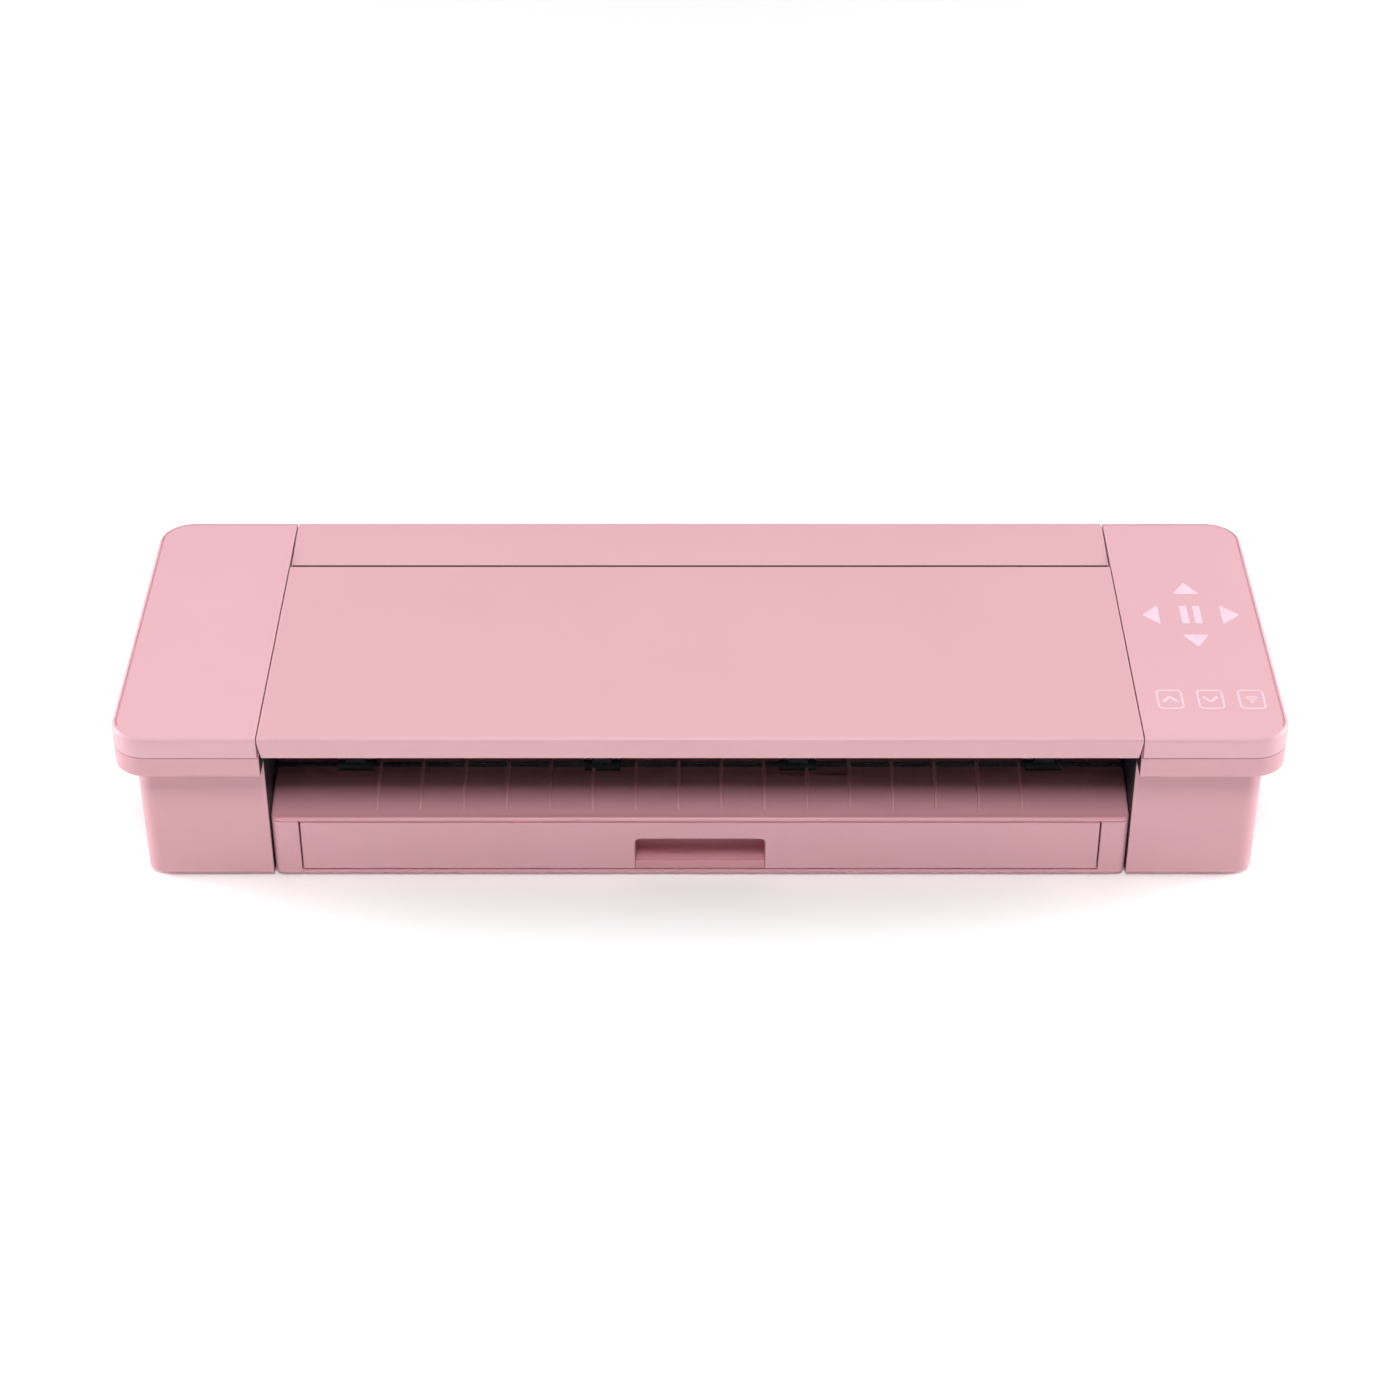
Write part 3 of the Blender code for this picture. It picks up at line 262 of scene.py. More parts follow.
nylon = flecked("glass_filled_nylon", "232428", "34363b", 0.6, 0.5, 0.015)
# Red-brown tint: painted reddish bounce light and shade inside the pink mouth.
arm_painted_red_bounce = flecked("nylon_painted_red_bounce", "4a3237", "593e44", 0.6, 0.5, 0.015)
rubber = flecked("nitrile_rubber", "161617", "242425", 0.5, 0.78, 0.02)
steel = flecked("zinc_plated_steel", "9fa4a9", "b6babd", 2.2, 0.36, 0.004, 1.0)
aluminium = flecked("extruded_aluminium", "b9bcbf", "cdd0d2", 0.5, 0.34, 0.004, 1.0,
                    (0.02, 1, 1))
grit = flecked("plasma_sprayed_grit", "4d4f52", "8b8d90", 0.25, 0.75, 0.06, 0.7)
acetal = flecked("white_acetal", "ece9e4", "f3f1ee", 1.5, 0.36, 0.003)
silicone = flecked("silicone_strip", "dcd8d1", "e9e6e0", 1.2, 0.55, 0.006)
brass = flecked("plated_brass", "c29a46", "d0ac5c", 1.0, 0.3, 0.004, 1.0)
board_mask = flecked("circuit_board_mask", "14462c", "1c5637", 1.8, 0.35, 0.006)
print("materials:", len(bpy.data.materials))

# %% [markdown]
# ## Shaping tools
# A mould maker thinks in blocks, rounded edges, cuts and joins, so these helpers do the same with
# Blender's own tools. Edges and faces are picked by where they are, not by number, so a changed
# size doesn't break a step. Every bevel is real geometry, because the light catches it.

# %% Shaping helpers
TINY = 1e-5


def deselect():
    """Nothing selected, so that an operator acts only on what is picked next."""
    bpy.ops.object.select_all(action="DESELECT")


def make_active(piece):
    deselect()
    piece.select_set(True)
    bpy.context.view_layer.objects.active = piece


def block(name, low, high):
    """A box between two corners, with its size and place in its mesh."""
    deselect()
    centre = [(a + b) / 2 for a, b in zip(low, high)]
    bpy.ops.mesh.primitive_cube_add(size=1, location=centre)
    piece = bpy.context.object
    piece.name = name
    piece.scale = [b - a for a, b in zip(low, high)]
    bpy.ops.object.transform_apply(location=True, rotation=True, scale=True)
    return piece


def drum(name, axis, centre, radius, length, sides=64):
    """A cylinder about a point, lying along X, Y or Z."""
    deselect()
    turns = {"X": (0, math.pi / 2, 0), "Y": (math.pi / 2, 0, 0), "Z": (0, 0, 0)}
    bpy.ops.mesh.primitive_cylinder_add(vertices=sides, radius=radius, depth=length,
                                        location=centre, rotation=turns[axis])
    piece = bpy.context.object
    piece.name = name
    bpy.ops.object.transform_apply(location=True, rotation=True, scale=True)
    return piece


def pick_edges(piece, wanted):
    """Enters edit mode with only the edges chosen whose two ends pass a test."""
    make_active(piece)
    bpy.ops.object.mode_set(mode="EDIT")
    bpy.ops.mesh.select_mode(type="EDGE")
    bpy.ops.mesh.select_all(action="DESELECT")
    cage = bmesh.from_edit_mesh(piece.data)
    for edge in cage.edges:
        if wanted(edge.verts[0].co, edge.verts[1].co):
            edge.select_set(True)
    bmesh.update_edit_mesh(piece.data)


def pick_faces(piece, wanted):
    """Enters edit mode with only the faces chosen whose centre and normal pass a test."""
    make_active(piece)
    bpy.ops.object.mode_set(mode="EDIT")
    bpy.ops.mesh.select_mode(type="FACE")
    bpy.ops.mesh.select_all(action="DESELECT")
    cage = bmesh.from_edit_mesh(piece.data)
    for face in cage.faces:
        if wanted(face.calc_center_median(), face.normal):
            face.select_set(True)
    bmesh.update_edit_mesh(piece.data)


def object_mode():
    bpy.ops.object.mode_set(mode="OBJECT")


def round_over(piece, wanted, radius, steps):
    """Rounds the picked edges to a radius."""
    pick_edges(piece, wanted)
    bpy.ops.mesh.bevel(offset=radius, segments=steps, affect="EDGES")
    object_mode()


def push(piece, wanted, vector):
    """Extrudes the picked faces along a vector."""
    pick_faces(piece, wanted)
    bpy.ops.mesh.extrude_region_move(TRANSFORM_OT_translate={"value": vector})
    object_mode()


def shift(piece, wanted, vector):
    """Moves the picked edges along a vector."""
    pick_edges(piece, wanted)
    bpy.ops.transform.translate(value=vector)
    object_mode()


def score(piece, point, normal):
    """Cuts a line of edges round the piece where a plane meets it."""
    make_active(piece)
    bpy.ops.object.mode_set(mode="EDIT")
    bpy.ops.mesh.select_all(action="SELECT")
    bpy.ops.mesh.bisect(plane_co=point, plane_no=normal)
    object_mode()


def combine(piece, others, operation):
    """Joins other pieces to this one, or cuts them out of it, and removes them."""
    for other in others:
        make_active(piece)
        step = piece.modifiers.new("shape", "BOOLEAN")
        step.operation = operation
        step.object = other
        bpy.ops.object.modifier_apply(modifier=step.name)
        bpy.data.objects.remove(other, do_unlink=True)
    return piece


def carve(piece, *cutters):
    return combine(piece, cutters, "DIFFERENCE")


def weld(piece, *others):
    return combine(piece, others, "UNION")


def along(axis, a, b):
    """True for an edge that lies along one axis."""
    others = [index for index in range(3) if index != "XYZ".index(axis)]
    return all(abs(a[index] - b[index]) < TINY for index in others)


def at(value, *points):
    return all(abs(point - value) < TINY for point in points)


def finish_piece(piece, finish, body, slot, *nodes):
    """Smooth shading with crisp corners, its material and its body; the nodes it stands for are
    hidden.
    """
    make_active(piece)
    bpy.ops.object.shade_smooth_by_angle(angle=math.radians(32))
    weights = piece.modifiers.new("even_shading", "WEIGHTED_NORMAL")
    weights.keep_sharp = True
    weights.weight = 80
    bpy.ops.object.modifier_apply(modifier=weights.name)
    piece.data.materials.clear()
    piece.data.materials.append(finish)
    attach(piece, body)
    if nodes:
        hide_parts(*nodes)
    print(f"{piece.name}: {len(piece.data.polygons)} faces")
    return piece


# %% [markdown]
# ## Sizes read from the frame
# Every shell goes where its node is, so the corners are read from the frame and only the small
# radii and wall thicknesses are written here.

# %% Sizes
HAIR = 0.35 * MM            # the fine radius on any moulded edge
CORNER_R = 17 * MM          # the slab's corners, seen from above
BODY_CORNER_R = 9 * MM      # the housings' upright corners
BED_CORNER_R = 4.5 * MM     # the bed unit's upright corners
WALL = 2.4 * MM             # wall thickness of the shells
SKIN = 2.5 * MM             # thickness of the flat tops
RIM_R = 2.4 * MM            # the rim of the end caps
FRONT_R = 1.8 * MM          # the front and rear edges of the slab
STRIP_DROP = 1.35 * MM      # how far the rear strip's front edge lies under the lid's level
lid_low, lid_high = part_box("lid")
strip_low, strip_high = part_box("rear_strip")
bed_low, bed_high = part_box("bed")
tray_low, tray_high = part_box("bed_frame")
FRONT, REAR, TOP = cad_low.y, cad_high.y, cad_high.z
BODY_FRONT, BODY_REAR = tray_low.y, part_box("rear_cover")[1].y
BAND_Z = strip_low.z
BODY_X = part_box("power_button")[1].x - 0.6 * MM
print("lid is", round((lid_high.x - lid_low.x) / MM, 1), "mm wide")

# %% [markdown]
# ## End caps
# Each end of the slab is a thin-walled cap with a wide plan radius and a soft rim. A fine parting
# groove runs round the rim where the top skin meets the frame. The cap starts as a block, its
# upright corners and then its rim are rounded, and a smaller rounded block is cut out below.

# %% End caps
GROOVE_OUT, GROOVE_IN = 1.9 * MM, 2.9 * MM      # the groove's sides, in from the cap's outline
GROOVE_D = 0.7 * MM


def rounded_block(name, low, high, side, radius, steps=18):
    """A block whose two upright corners on the outer side are rounded."""
    piece = block(name, low, high)
    outer = high[0] if side == "right" else low[0]
    round_over(piece, lambda a, b: along("Z", a, b) and at(outer, a.x), radius, steps)
    return piece


def inset_block(name, low, high, side, inset, bottom, top):
    """A rounded block set in from a cap's outline, for its hollow or its rim groove."""
    near, far = (inset, 0) if side == "left" else (0, inset)
    return rounded_block(name, (low.x + near, low.y + inset, bottom),
                         (high.x - far, high.y - inset, top), side, CORNER_R - inset)


def end_cap_cover(side):
    low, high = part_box(f"end_cap_{side}")
    outer, inner = (high.x, low.x) if side == "right" else (low.x, high.x)
    cover = rounded_block(f"end_cap_cover_{side}", low, high, side, CORNER_R)
    round_over(cover, lambda a, b: at(high.z, a.z, b.z) and not at(inner, a.x, b.x), RIM_R, 6)
    round_over(cover, lambda a, b: at(inner, a.x, b.x) and along("Y", a, b) and a.z > 0.09,
               HAIR, 3)
    round_over(cover, lambda a, b: at(low.z, a.z, b.z) and not at(inner, a.x, b.x), HAIR, 2)
    wall = Vector((WALL if side == "right" else 0, 0, 0))
    wall_far = Vector((WALL if side == "left" else 0, 0, 0))
    hollow = inset_block("hollow", low + wall, high - wall_far, side, WALL,
                         low.z - 1 * MM, high.z - SKIN)
    groove = inset_block("groove", low - wall, high + wall_far, side, GROOVE_OUT,
                         high.z - GROOVE_D, high.z + 1 * MM)
    carve(groove, inset_block("core", low - 2 * wall, high + 2 * wall_far, side, GROOVE_IN,
                              high.z - 2 * MM, high.z + 2 * MM))
    carve(groove, block("front_stop", (low.x - 9 * MM, low.y - 1 * MM, high.z - 2 * MM),
                        (high.x + 9 * MM, low.y + 11 * MM, high.z + 2 * MM)))
    return carve(cover, hollow, groove)


cap_right = end_cap_cover("right")
cap_left = end_cap_cover("left")
finish_piece(cap_left, pink_shell, "base", "pink_shell", "end_cap_left")

# %% [markdown]
# ## Lid
# The lid is one wide moulding: a flat plate with a lip turned down at the front, whose ends lean
# in a little. Scoring the plate near its front edge gives a strip of faces underneath that can be
# pushed down into the lip, which keeps it all one skin. The thin rear edge is cut last.

# %% Lid
LIP_BACK = FRONT + 2.8 * MM
lid = block("lid_cover", (lid_low.x, lid_low.y, TOP - SKIN), lid_high)
score(lid, (0, LIP_BACK, 0), (0, 1, 0))
push(lid, lambda centre, normal: normal.z < -0.9 and centre.y < LIP_BACK,
     (0, 0, lid_low.z - (TOP - SKIN)))
pick_edges(lid, lambda a, b: at(lid_low.z, a.z, b.z))
lean = (lid_high.x - 1.7 * MM) / lid_high.x
bpy.ops.transform.resize(value=(lean, 1, 1), center_override=(0, 0, 0))
object_mode()
round_over(lid, lambda a, b: along("X", a, b) and at(TOP, a.z) and at(FRONT, a.y), FRONT_R, 8)
round_over(lid, lambda a, b: along("X", a, b) and at(TOP, a.z) and at(lid_high.y, a.y),
           0.5 * MM, 4)
round_over(lid, lambda a, b: at(lid_low.z, a.z, b.z) and at(FRONT, a.y, b.y), 0.5 * MM, 4)
round_over(lid, lambda a, b: along("Y", a, b) and at(TOP, a.z) and abs(a.x) > 0.2, HAIR, 3)
carve(lid, block("thin_edge", (-0.3, lid_high.y - 24.4 * MM, TOP - 5 * MM),
                 (0.3, lid_high.y + 5 * MM, TOP - 1.2 * MM)))
finish_piece(lid, pink_lid, "lid_body", "pink_shell", "lid")

# %% [markdown]
# A thin black film under the lid is painted shade: it keeps the inside of the machine dark and the
# gaps black. It lies in the clearance above the runners and moves with the lid.

# %% Lid film, painted shade
painted_shade_film = block("lid_painted_shade_film", (lid_low.x + 8 * MM, FRONT + 3.2 * MM, TOP - SKIN - 0.22 * MM),
               (lid_high.x - 8 * MM, lid_high.y - 25 * MM, TOP - SKIN - 0.02 * MM))
round_over(painted_shade_film, lambda a, b: along("Z", a, b), 4 * MM, 6)
finish_piece(painted_shade_film, nylon, "lid_body", "graphite_plastic")

# %% [markdown]
# ## Rear strip
# Behind the lid a fixed strip closes the slab and turns down at the rear. It starts a little lower
# than the lid and rises to meet its level, which lets the lid slide back over it.

# %% Rear strip
strip = block("rear_strip_cover", (strip_low.x, strip_low.y, TOP - SKIN), strip_high)
score(strip, (0, strip_low.y + 23 * MM, 0), (0, 1, 0))
score(strip, (0, REAR - WALL, 0), (0, 1, 0))
push(strip, lambda centre, normal: normal.z < -0.9 and centre.y > REAR - WALL,
     (0, 0, BAND_Z - (TOP - SKIN)))
score(strip, (0, 0, BAND_Z + WALL), (0, 0, 1))
push(strip, lambda centre, normal: normal.y < -0.9 and centre.z < BAND_Z + WALL and
     centre.y > strip_low.y + 1 * MM, (0, -(REAR - WALL - BODY_REAR - 0.3 * MM), 0))
shift(strip, lambda a, b: at(strip_low.y, a.y, b.y), (0, 0, -STRIP_DROP))
round_over(strip, lambda a, b: along("X", a, b) and at(TOP, a.z) and at(REAR, a.y), FRONT_R, 8)
round_over(strip, lambda a, b: along("X", a, b) and at(BAND_Z, a.z) and at(REAR, a.y),
           0.6 * MM, 3)
round_over(strip, lambda a, b: along("X", a, b) and at(strip_low.y, a.y) and
           at(TOP - STRIP_DROP, a.z), 0.6 * MM, 4)
finish_piece(strip, pink_lid, "base", "pink_shell", "rear_strip")

# %% [markdown]
# A black rubber strip on the leading edge of the rear strip is painted shade: it makes the gap
# behind the lid read as a dark line. It sits low enough for the lid's thin edge to pass over it.

# %% Gap strip, painted shade
SEAL_TOP = TOP - STRIP_DROP - 0.1 * MM
seal = block("gap_painted_shade_seal", (-strip_high.x + 0.6 * MM, strip_low.y - 1.5 * MM, TOP - 4 * MM),
             (strip_high.x - 0.6 * MM, strip_low.y - 0.02 * MM, SEAL_TOP))
round_over(seal, lambda a, b: along("X", a, b) and at(SEAL_TOP, a.z), 0.3 * MM, 3)
finish_piece(seal, rubber, "base", "rubber")

# %% [markdown]
# ## Side housings
# A housing is a narrow rounded box under a wider band. The band overhangs the box by 12 mm at the
# front and 9 mm at the side, and its shadow is what makes the slab look as if it floats. Two
# blocks are rounded on their own, joined, and then hollowed so that the wall is even.

# %% Side housings
shaft_low, shaft_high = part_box("feed_shaft")
SHAFT = Vector((0, (shaft_low.y + shaft_high.y) / 2, (shaft_low.z + shaft_high.z) / 2))
SHAFT_HOLE_R = 3.6 * MM


def housing_shell(side):
    low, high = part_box(f"housing_{side}")
    sign = 1 if side == "right" else -1
    inner = low.x if side == "right" else high.x
    wall = inner + sign * WALL

    def stretch(first, second):
        return min(first, second), max(first, second)

    x = stretch(inner, sign * BODY_X)
    body = rounded_block(f"housing_shell_{side}", (x[0], BODY_FRONT, low.z),
                         (x[1], BODY_REAR, BAND_Z + 1 * MM), side, BODY_CORNER_R, 12)
    round_over(body, lambda a, b: at(low.z, a.z, b.z) and not at(inner, a.x, b.x), 1.5 * MM, 5)
    round_over(body, lambda a, b: along("Z", a, b) and at(inner, a.x) and a.y < 0, HAIR, 3)
    band = rounded_block("band", (low.x, FRONT, BAND_Z), (high.x, REAR, high.z), side, CORNER_R)
    round_over(band, lambda a, b: at(BAND_Z, a.z, b.z) and not at(inner, a.x, b.x), 0.7 * MM, 4)
    round_over(band, lambda a, b: at(high.z, a.z, b.z) and not at(inner, a.x, b.x), HAIR, 2)
    round_over(band, lambda a, b: along("Z", a, b) and at(inner, a.x), 0.5 * MM, 3)
    weld(body, band)
    x = stretch(wall, sign * (BODY_X - WALL))
    hollow = rounded_block("hollow", (x[0], BODY_FRONT + WALL, low.z + WALL),
                           (x[1], BODY_REAR - WALL, high.z + 1 * MM), side, BODY_CORNER_R - WALL)
    outer = high.x if side == "right" else low.x
    x = stretch(wall, outer - sign * WALL)
    gallery = rounded_block("gallery", (x[0], FRONT + WALL, BAND_Z + WALL),
                            (x[1], REAR - WALL, high.z + 2 * MM), side, CORNER_R - WALL)
    rail_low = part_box("carriage_rail")[0]
    belt_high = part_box("carriage_belt")[1]
    x = stretch(inner - sign * 1 * MM, wall + sign * 1 * MM)
    window = block("window", (x[0], rail_low.y - 3 * MM, rail_low.z - 2 * MM),
                   (x[1], belt_high.y + 4 * MM, TOP + 3 * MM))
    hole = drum("hole", "X", (inner, SHAFT.y, SHAFT.z), SHAFT_HOLE_R, 12 * MM, 32)
    return carve(body, hollow, gallery, window, hole)


housing_left = housing_shell("left")
finish_piece(housing_left, body_pink_painted_shade, "base", "pink_shell", "housing_left")

# %% [markdown]
# A black film on the inner face of each housing, beside the bed and under the lid, is painted
# shade: it keeps the feed opening dark and turns the working gap beside the bed into one fine black
# line. It is cut as two rectangles that meet, with a clearance hole for the feed shaft.

# %% Side films, painted shade
FILM, FILM_TOP, FILM_BACK = 0.2 * MM, 81.8 * MM, -20 * MM
for side, sign in (("left", -1), ("right", 1)):
    wall_x = sign * (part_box("housing_right")[0].x - 0.03 * MM)
    film_x = wall_x - sign * FILM
    near, far = min(wall_x, film_x), max(wall_x, film_x)
    painted_shade_film = block(f"side_painted_shade_film_{side}", (near, BODY_FRONT + 1.2 * MM, 2.4 * MM),
                   (far, FILM_BACK, FILM_TOP))
    weld(painted_shade_film, block("upper", (near, FRONT + 1.2 * MM, BAND_Z + 1 * MM),
                       (far, BODY_FRONT + 3 * MM, FILM_TOP)))
    carve(painted_shade_film, drum("hole", "X", (wall_x, SHAFT.y, SHAFT.z), SHAFT_HOLE_R, 12 * MM, 32))
    finish_piece(painted_shade_film, nylon, "base", "graphite_plastic")

# %% [markdown]
# The right housing also holds the power button and the sockets, so it has a round hole in its
# side and two openings in its rear wall, each a third of a millimetre larger than what fills it.

# %% Right housing
housing_right = housing_shell("right")
button_low, button_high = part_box("power_button")
BUTTON_R = 6 * MM
button_centre = Vector((BODY_X, (button_low.y + button_high.y) / 2,
                        (button_low.z + button_high.z) / 2))
carve(housing_right, drum("hole", "X", button_centre, BUTTON_R + 0.3 * MM, 12 * MM))
for node in ("dc_inlet", "usb_socket"):
    low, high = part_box(node)
    carve(housing_right, block("opening", (low.x - 0.3 * MM, BODY_REAR - 5 * MM, low.z - 0.3 * MM),
                               (high.x + 0.3 * MM, BODY_REAR + 2 * MM, high.z + 0.3 * MM)))
finish_piece(housing_right, body_pink_painted_shade, "base", "pink_shell", "housing_right")

# %% [markdown]
# ## Bed
# The bed leads the sheet up from a rounded nose to the feed rollers. Its surface eases up like a
# ramp, and sixteen low ribs grow out of it so that the sheet slides on their tops. A flat block is
# rounded first, scored into bands across, and each band is then lifted to the ramp's height. That
# keeps the rounded edges, which a ramp cut from a solid block would lose.

# %% Ramp
RAMP_START = BODY_FRONT + 3.2 * MM
RAMP_D = 27 * MM
NOSE_Z, BED_Z = 36.8 * MM, 43.6 * MM
RIB_H = 1.8 * MM
BANDS = 14
SAME_ROW = 6e-6


def ramp_share(y, start=RAMP_START, depth=RAMP_D):
    """From 0 to 1 along the ramp, easing in and out."""
    share = min(max((y - start) / depth, 0), 1)
    return share * share * (3 - 2 * share)


def lift_rows(piece, wanted, rise):
    """Lifts the picked points, one row across at a time, by a rise for the row's distance."""
    make_active(piece)
    bpy.ops.object.mode_set(mode="EDIT")
    bpy.ops.mesh.select_mode(type="VERT")
    cage = bmesh.from_edit_mesh(piece.data)
    rows = sorted({round(vert.co.y, 5) for vert in cage.verts if wanted(vert.co)})
    lifted = set()
    for row in rows:
        bpy.ops.mesh.select_all(action="DESELECT")
        cage = bmesh.from_edit_mesh(piece.data)
        cage.verts.ensure_lookup_table()
        for vert in cage.verts:
            if vert.index not in lifted and wanted(vert.co) and abs(vert.co.y - row) < SAME_ROW:
                vert.select_set(True)
                lifted.add(vert.index)
        bmesh.update_edit_mesh(piece.data)
        if abs(rise(row)) > 1e-7:
            bpy.ops.transform.translate(value=(0, 0, rise(row)))
    object_mode()


def lift_bands(piece, above, rise):
    """Scores the ramp's bands, then lifts what lies above a level by a rise for its distance."""
    for band in range(BANDS + 1):
        score(piece, (0, RAMP_START + RAMP_D * band / BANDS, 0), (0, 1, 0))
    lift_rows(piece, lambda point: point.z > above, rise)
    return piece


def bed_rise(y):
    return (BED_Z - NOSE_Z) * ramp_share(y)


# %% [markdown]
# The skin is the rounded block with the ramp lifted in it. Its hollow is a smaller block, lifted in
# the same way, so that the wall under the ramp keeps an even thickness.

# %% Bed skin
bed = block("bed_cover", bed_low, (bed_high.x, bed_high.y, NOSE_Z))
round_over(bed, lambda a, b: along("Z", a, b) and at(BODY_FRONT, a.y), BED_CORNER_R, 12)
round_over(bed, lambda a, b: at(NOSE_Z, a.z, b.z) and not at(bed_high.y, a.y, b.y),
           1.5 * MM, 6)
round_over(bed, lambda a, b: at(bed_low.z, a.z, b.z) and not at(bed_high.y, a.y, b.y),
           0.3 * MM, 2)
lift_bands(bed, NOSE_Z - 1.6 * MM, bed_rise)
hollow = block("hollow", (bed_low.x + WALL, BODY_FRONT + 10.5 * MM, bed_low.z - 1 * MM),
               (bed_high.x - WALL, bed_high.y - 2.2 * MM, NOSE_Z - 2.2 * MM))
lift_bands(hollow, NOSE_Z - 2.3 * MM, bed_rise)
carve(bed, hollow)

# %% [markdown]
# The ribs are one long bar, rounded along its top and draped over the same ramp. It starts a hair
# under the surface, so that it seems to grow out of it. The copies are joined and welded at once.

# %% Ribs
RIB_START, RIB_FADE = BODY_FRONT + 4.5 * MM, 8 * MM
RIB_FOOT = NOSE_Z - 1.2 * MM
rib = block("rib", (-0.8 * MM, RIB_START, RIB_FOOT),
            (0.8 * MM, bed_high.y - 3 * MM, NOSE_Z + RIB_H))
round_over(rib, lambda a, b: at(NOSE_Z + RIB_H, a.z, b.z), 0.35 * MM, 3)
lift_bands(rib, NOSE_Z + RIB_H - 0.6 * MM, lambda y: bed_rise(y) + (RIB_H + 0.3 * MM) *
           (ramp_share(y, RIB_START, RIB_FADE) - 1))
lift_rows(rib, lambda point: at(RIB_FOOT, point.z), bed_rise)


def copy_piece(piece, name, move):
    """A copy with its own mesh, moved in its mesh so that it still sits at the origin."""
    other = piece.copy()
    other.data = piece.data.copy()
    other.name = name
    bpy.context.scene.collection.objects.link(other)
    make_active(other)
    other.location = move
    bpy.ops.object.transform_apply(location=True, rotation=False, scale=False)
    return other


def join_pieces(first, others):
    make_active(first)
    for other in others:
        other.select_set(True)
    bpy.ops.object.join()
    return first


PITCH = 21.3 * MM
ribs = [copy_piece(rib, f"rib_{i}", ((i - 7.5) * PITCH, 0, 0)) for i in range(16)]
bpy.data.objects.remove(rib, do_unlink=True)
weld(bed, join_pieces(ribs[0], ribs[1:]))

# %% [markdown]
# The feed shaft runs under the bed's surface. Each gritted sleeve looks through a window with soft
# corners, and the silicone strip lies in a groove that runs across behind them.

# %% Openings in the bed
cuts = [drum("shaft_way", "X", SHAFT, 3.4 * MM, 2 * bed_high.x + 4 * MM, 32)]
for number in range(1, 5):
    low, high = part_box(f"grit_sleeve_{number}")
    room = Vector((0.6 * MM, 0.6 * MM, 0))
    window = block("window", low - room, high + room + Vector((0, 0, 2 * MM)))
    round_over(window, lambda a, b: along("Z", a, b), 0.8 * MM, 3)
    cuts.append(window)
low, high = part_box("cutting_strip")
cuts.append(block("groove", (low.x - 0.3 * MM, low.y - 0.3 * MM, BED_Z - 1 * MM),
                  (high.x + 0.3 * MM, high.y + 0.3 * MM, BED_Z + 4 * MM)))
carve(bed, *cuts)
print("openings in the bed:", len(cuts))
finish_piece(bed, bed_pink_painted_shade, "base", "pink_shell", "bed")

# %% [markdown]
# ## Bed frame
# Under the bed a tray-shaped frame holds the drawer between two posts. It is a box whose outer
# corners are rounded first and whose bays are then cut from above, as a mould's core would do.

# %% Bed frame
tray = block("bed_frame_cover", tray_low, tray_high)
round_over(tray, lambda a, b: along("Z", a, b) and at(BODY_FRONT, a.y), BED_CORNER_R, 12)
round_over(tray, lambda a, b: at(tray_low.z, a.z, b.z) and not at(tray_high.y, a.y, b.y),
           1.3 * MM, 5)
round_over(tray, lambda a, b: at(tray_high.z, a.z, b.z) and not at(tray_high.y, a.y, b.y),
           HAIR, 2)
BAY_X = bed_high.x - 13.7 * MM
DIVIDER_Y = 34 * MM
floor_z = tray_low.z + 2.5 * MM
above = tray_high.z + 1 * MM
carve(tray,
      block("bay", (-BAY_X, BODY_FRONT - 1 * MM, floor_z), (BAY_X, DIVIDER_Y, above)),
      block("rear_bay", (-BAY_X, DIVIDER_Y + 2 * MM, floor_z),
            (BAY_X, BODY_REAR - 2.7 * MM, above)),
      block("left_pocket", (-bed_high.x + 2 * MM, BODY_FRONT + 6 * MM, floor_z),
            (-BAY_X - 2 * MM, BODY_REAR - 6 * MM, above)),
      block("right_pocket", (BAY_X + 2 * MM, BODY_FRONT + 6 * MM, floor_z),
            (bed_high.x - 2 * MM, BODY_REAR - 6 * MM, above)))
round_over(tray, lambda a, b: at(BODY_FRONT, a.y, b.y) and (
    (along("Z", a, b) and at(BAY_X, abs(a.x))) or (along("X", a, b) and at(floor_z, a.z))),
    HAIR, 2)
finish_piece(tray, body_pink_painted_shade, "base", "pink_shell", "bed_frame")

# %% [markdown]
# ## Rear cover
# A thin wall closes the machine behind, with a wide slot that the sheet leaves by. The slot's ends
# are round and its edge is broken, because the sheet rubs there.

# %% Rear cover
SLOT_X, SLOT_LOW, SLOT_TOP = 165 * MM, BED_Z - 0.4 * MM, BED_Z + 7.4 * MM
low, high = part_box("rear_cover")
cover = block("rear_cover_shell", low, high)
round_over(cover, lambda a, b: at(high.y, a.y, b.y), HAIR, 2)
slot = block("slot", (-SLOT_X, low.y - 1 * MM, SLOT_LOW), (SLOT_X, high.y + 1 * MM, SLOT_TOP))
round_over(slot, lambda a, b: along("Y", a, b), 2 * MM, 5)
carve(cover, slot)
round_over(cover, lambda a, b: at(high.y, a.y, b.y) and
           max(abs(a.x), abs(b.x)) < SLOT_X + 1 * MM and
           SLOT_LOW - 0.6 * MM < a.z < SLOT_TOP + 0.6 * MM, 0.5 * MM, 3)
finish_piece(cover, body_pink_painted_shade, "base", "pink_shell", "rear_cover")

# %% [markdown]
# ## Drawer
# The drawer is a thin front panel with a shallow tray behind it. A notch at the middle of the
# panel's lower edge gives the fingers a hold, and a scooped cup closes the space behind it.

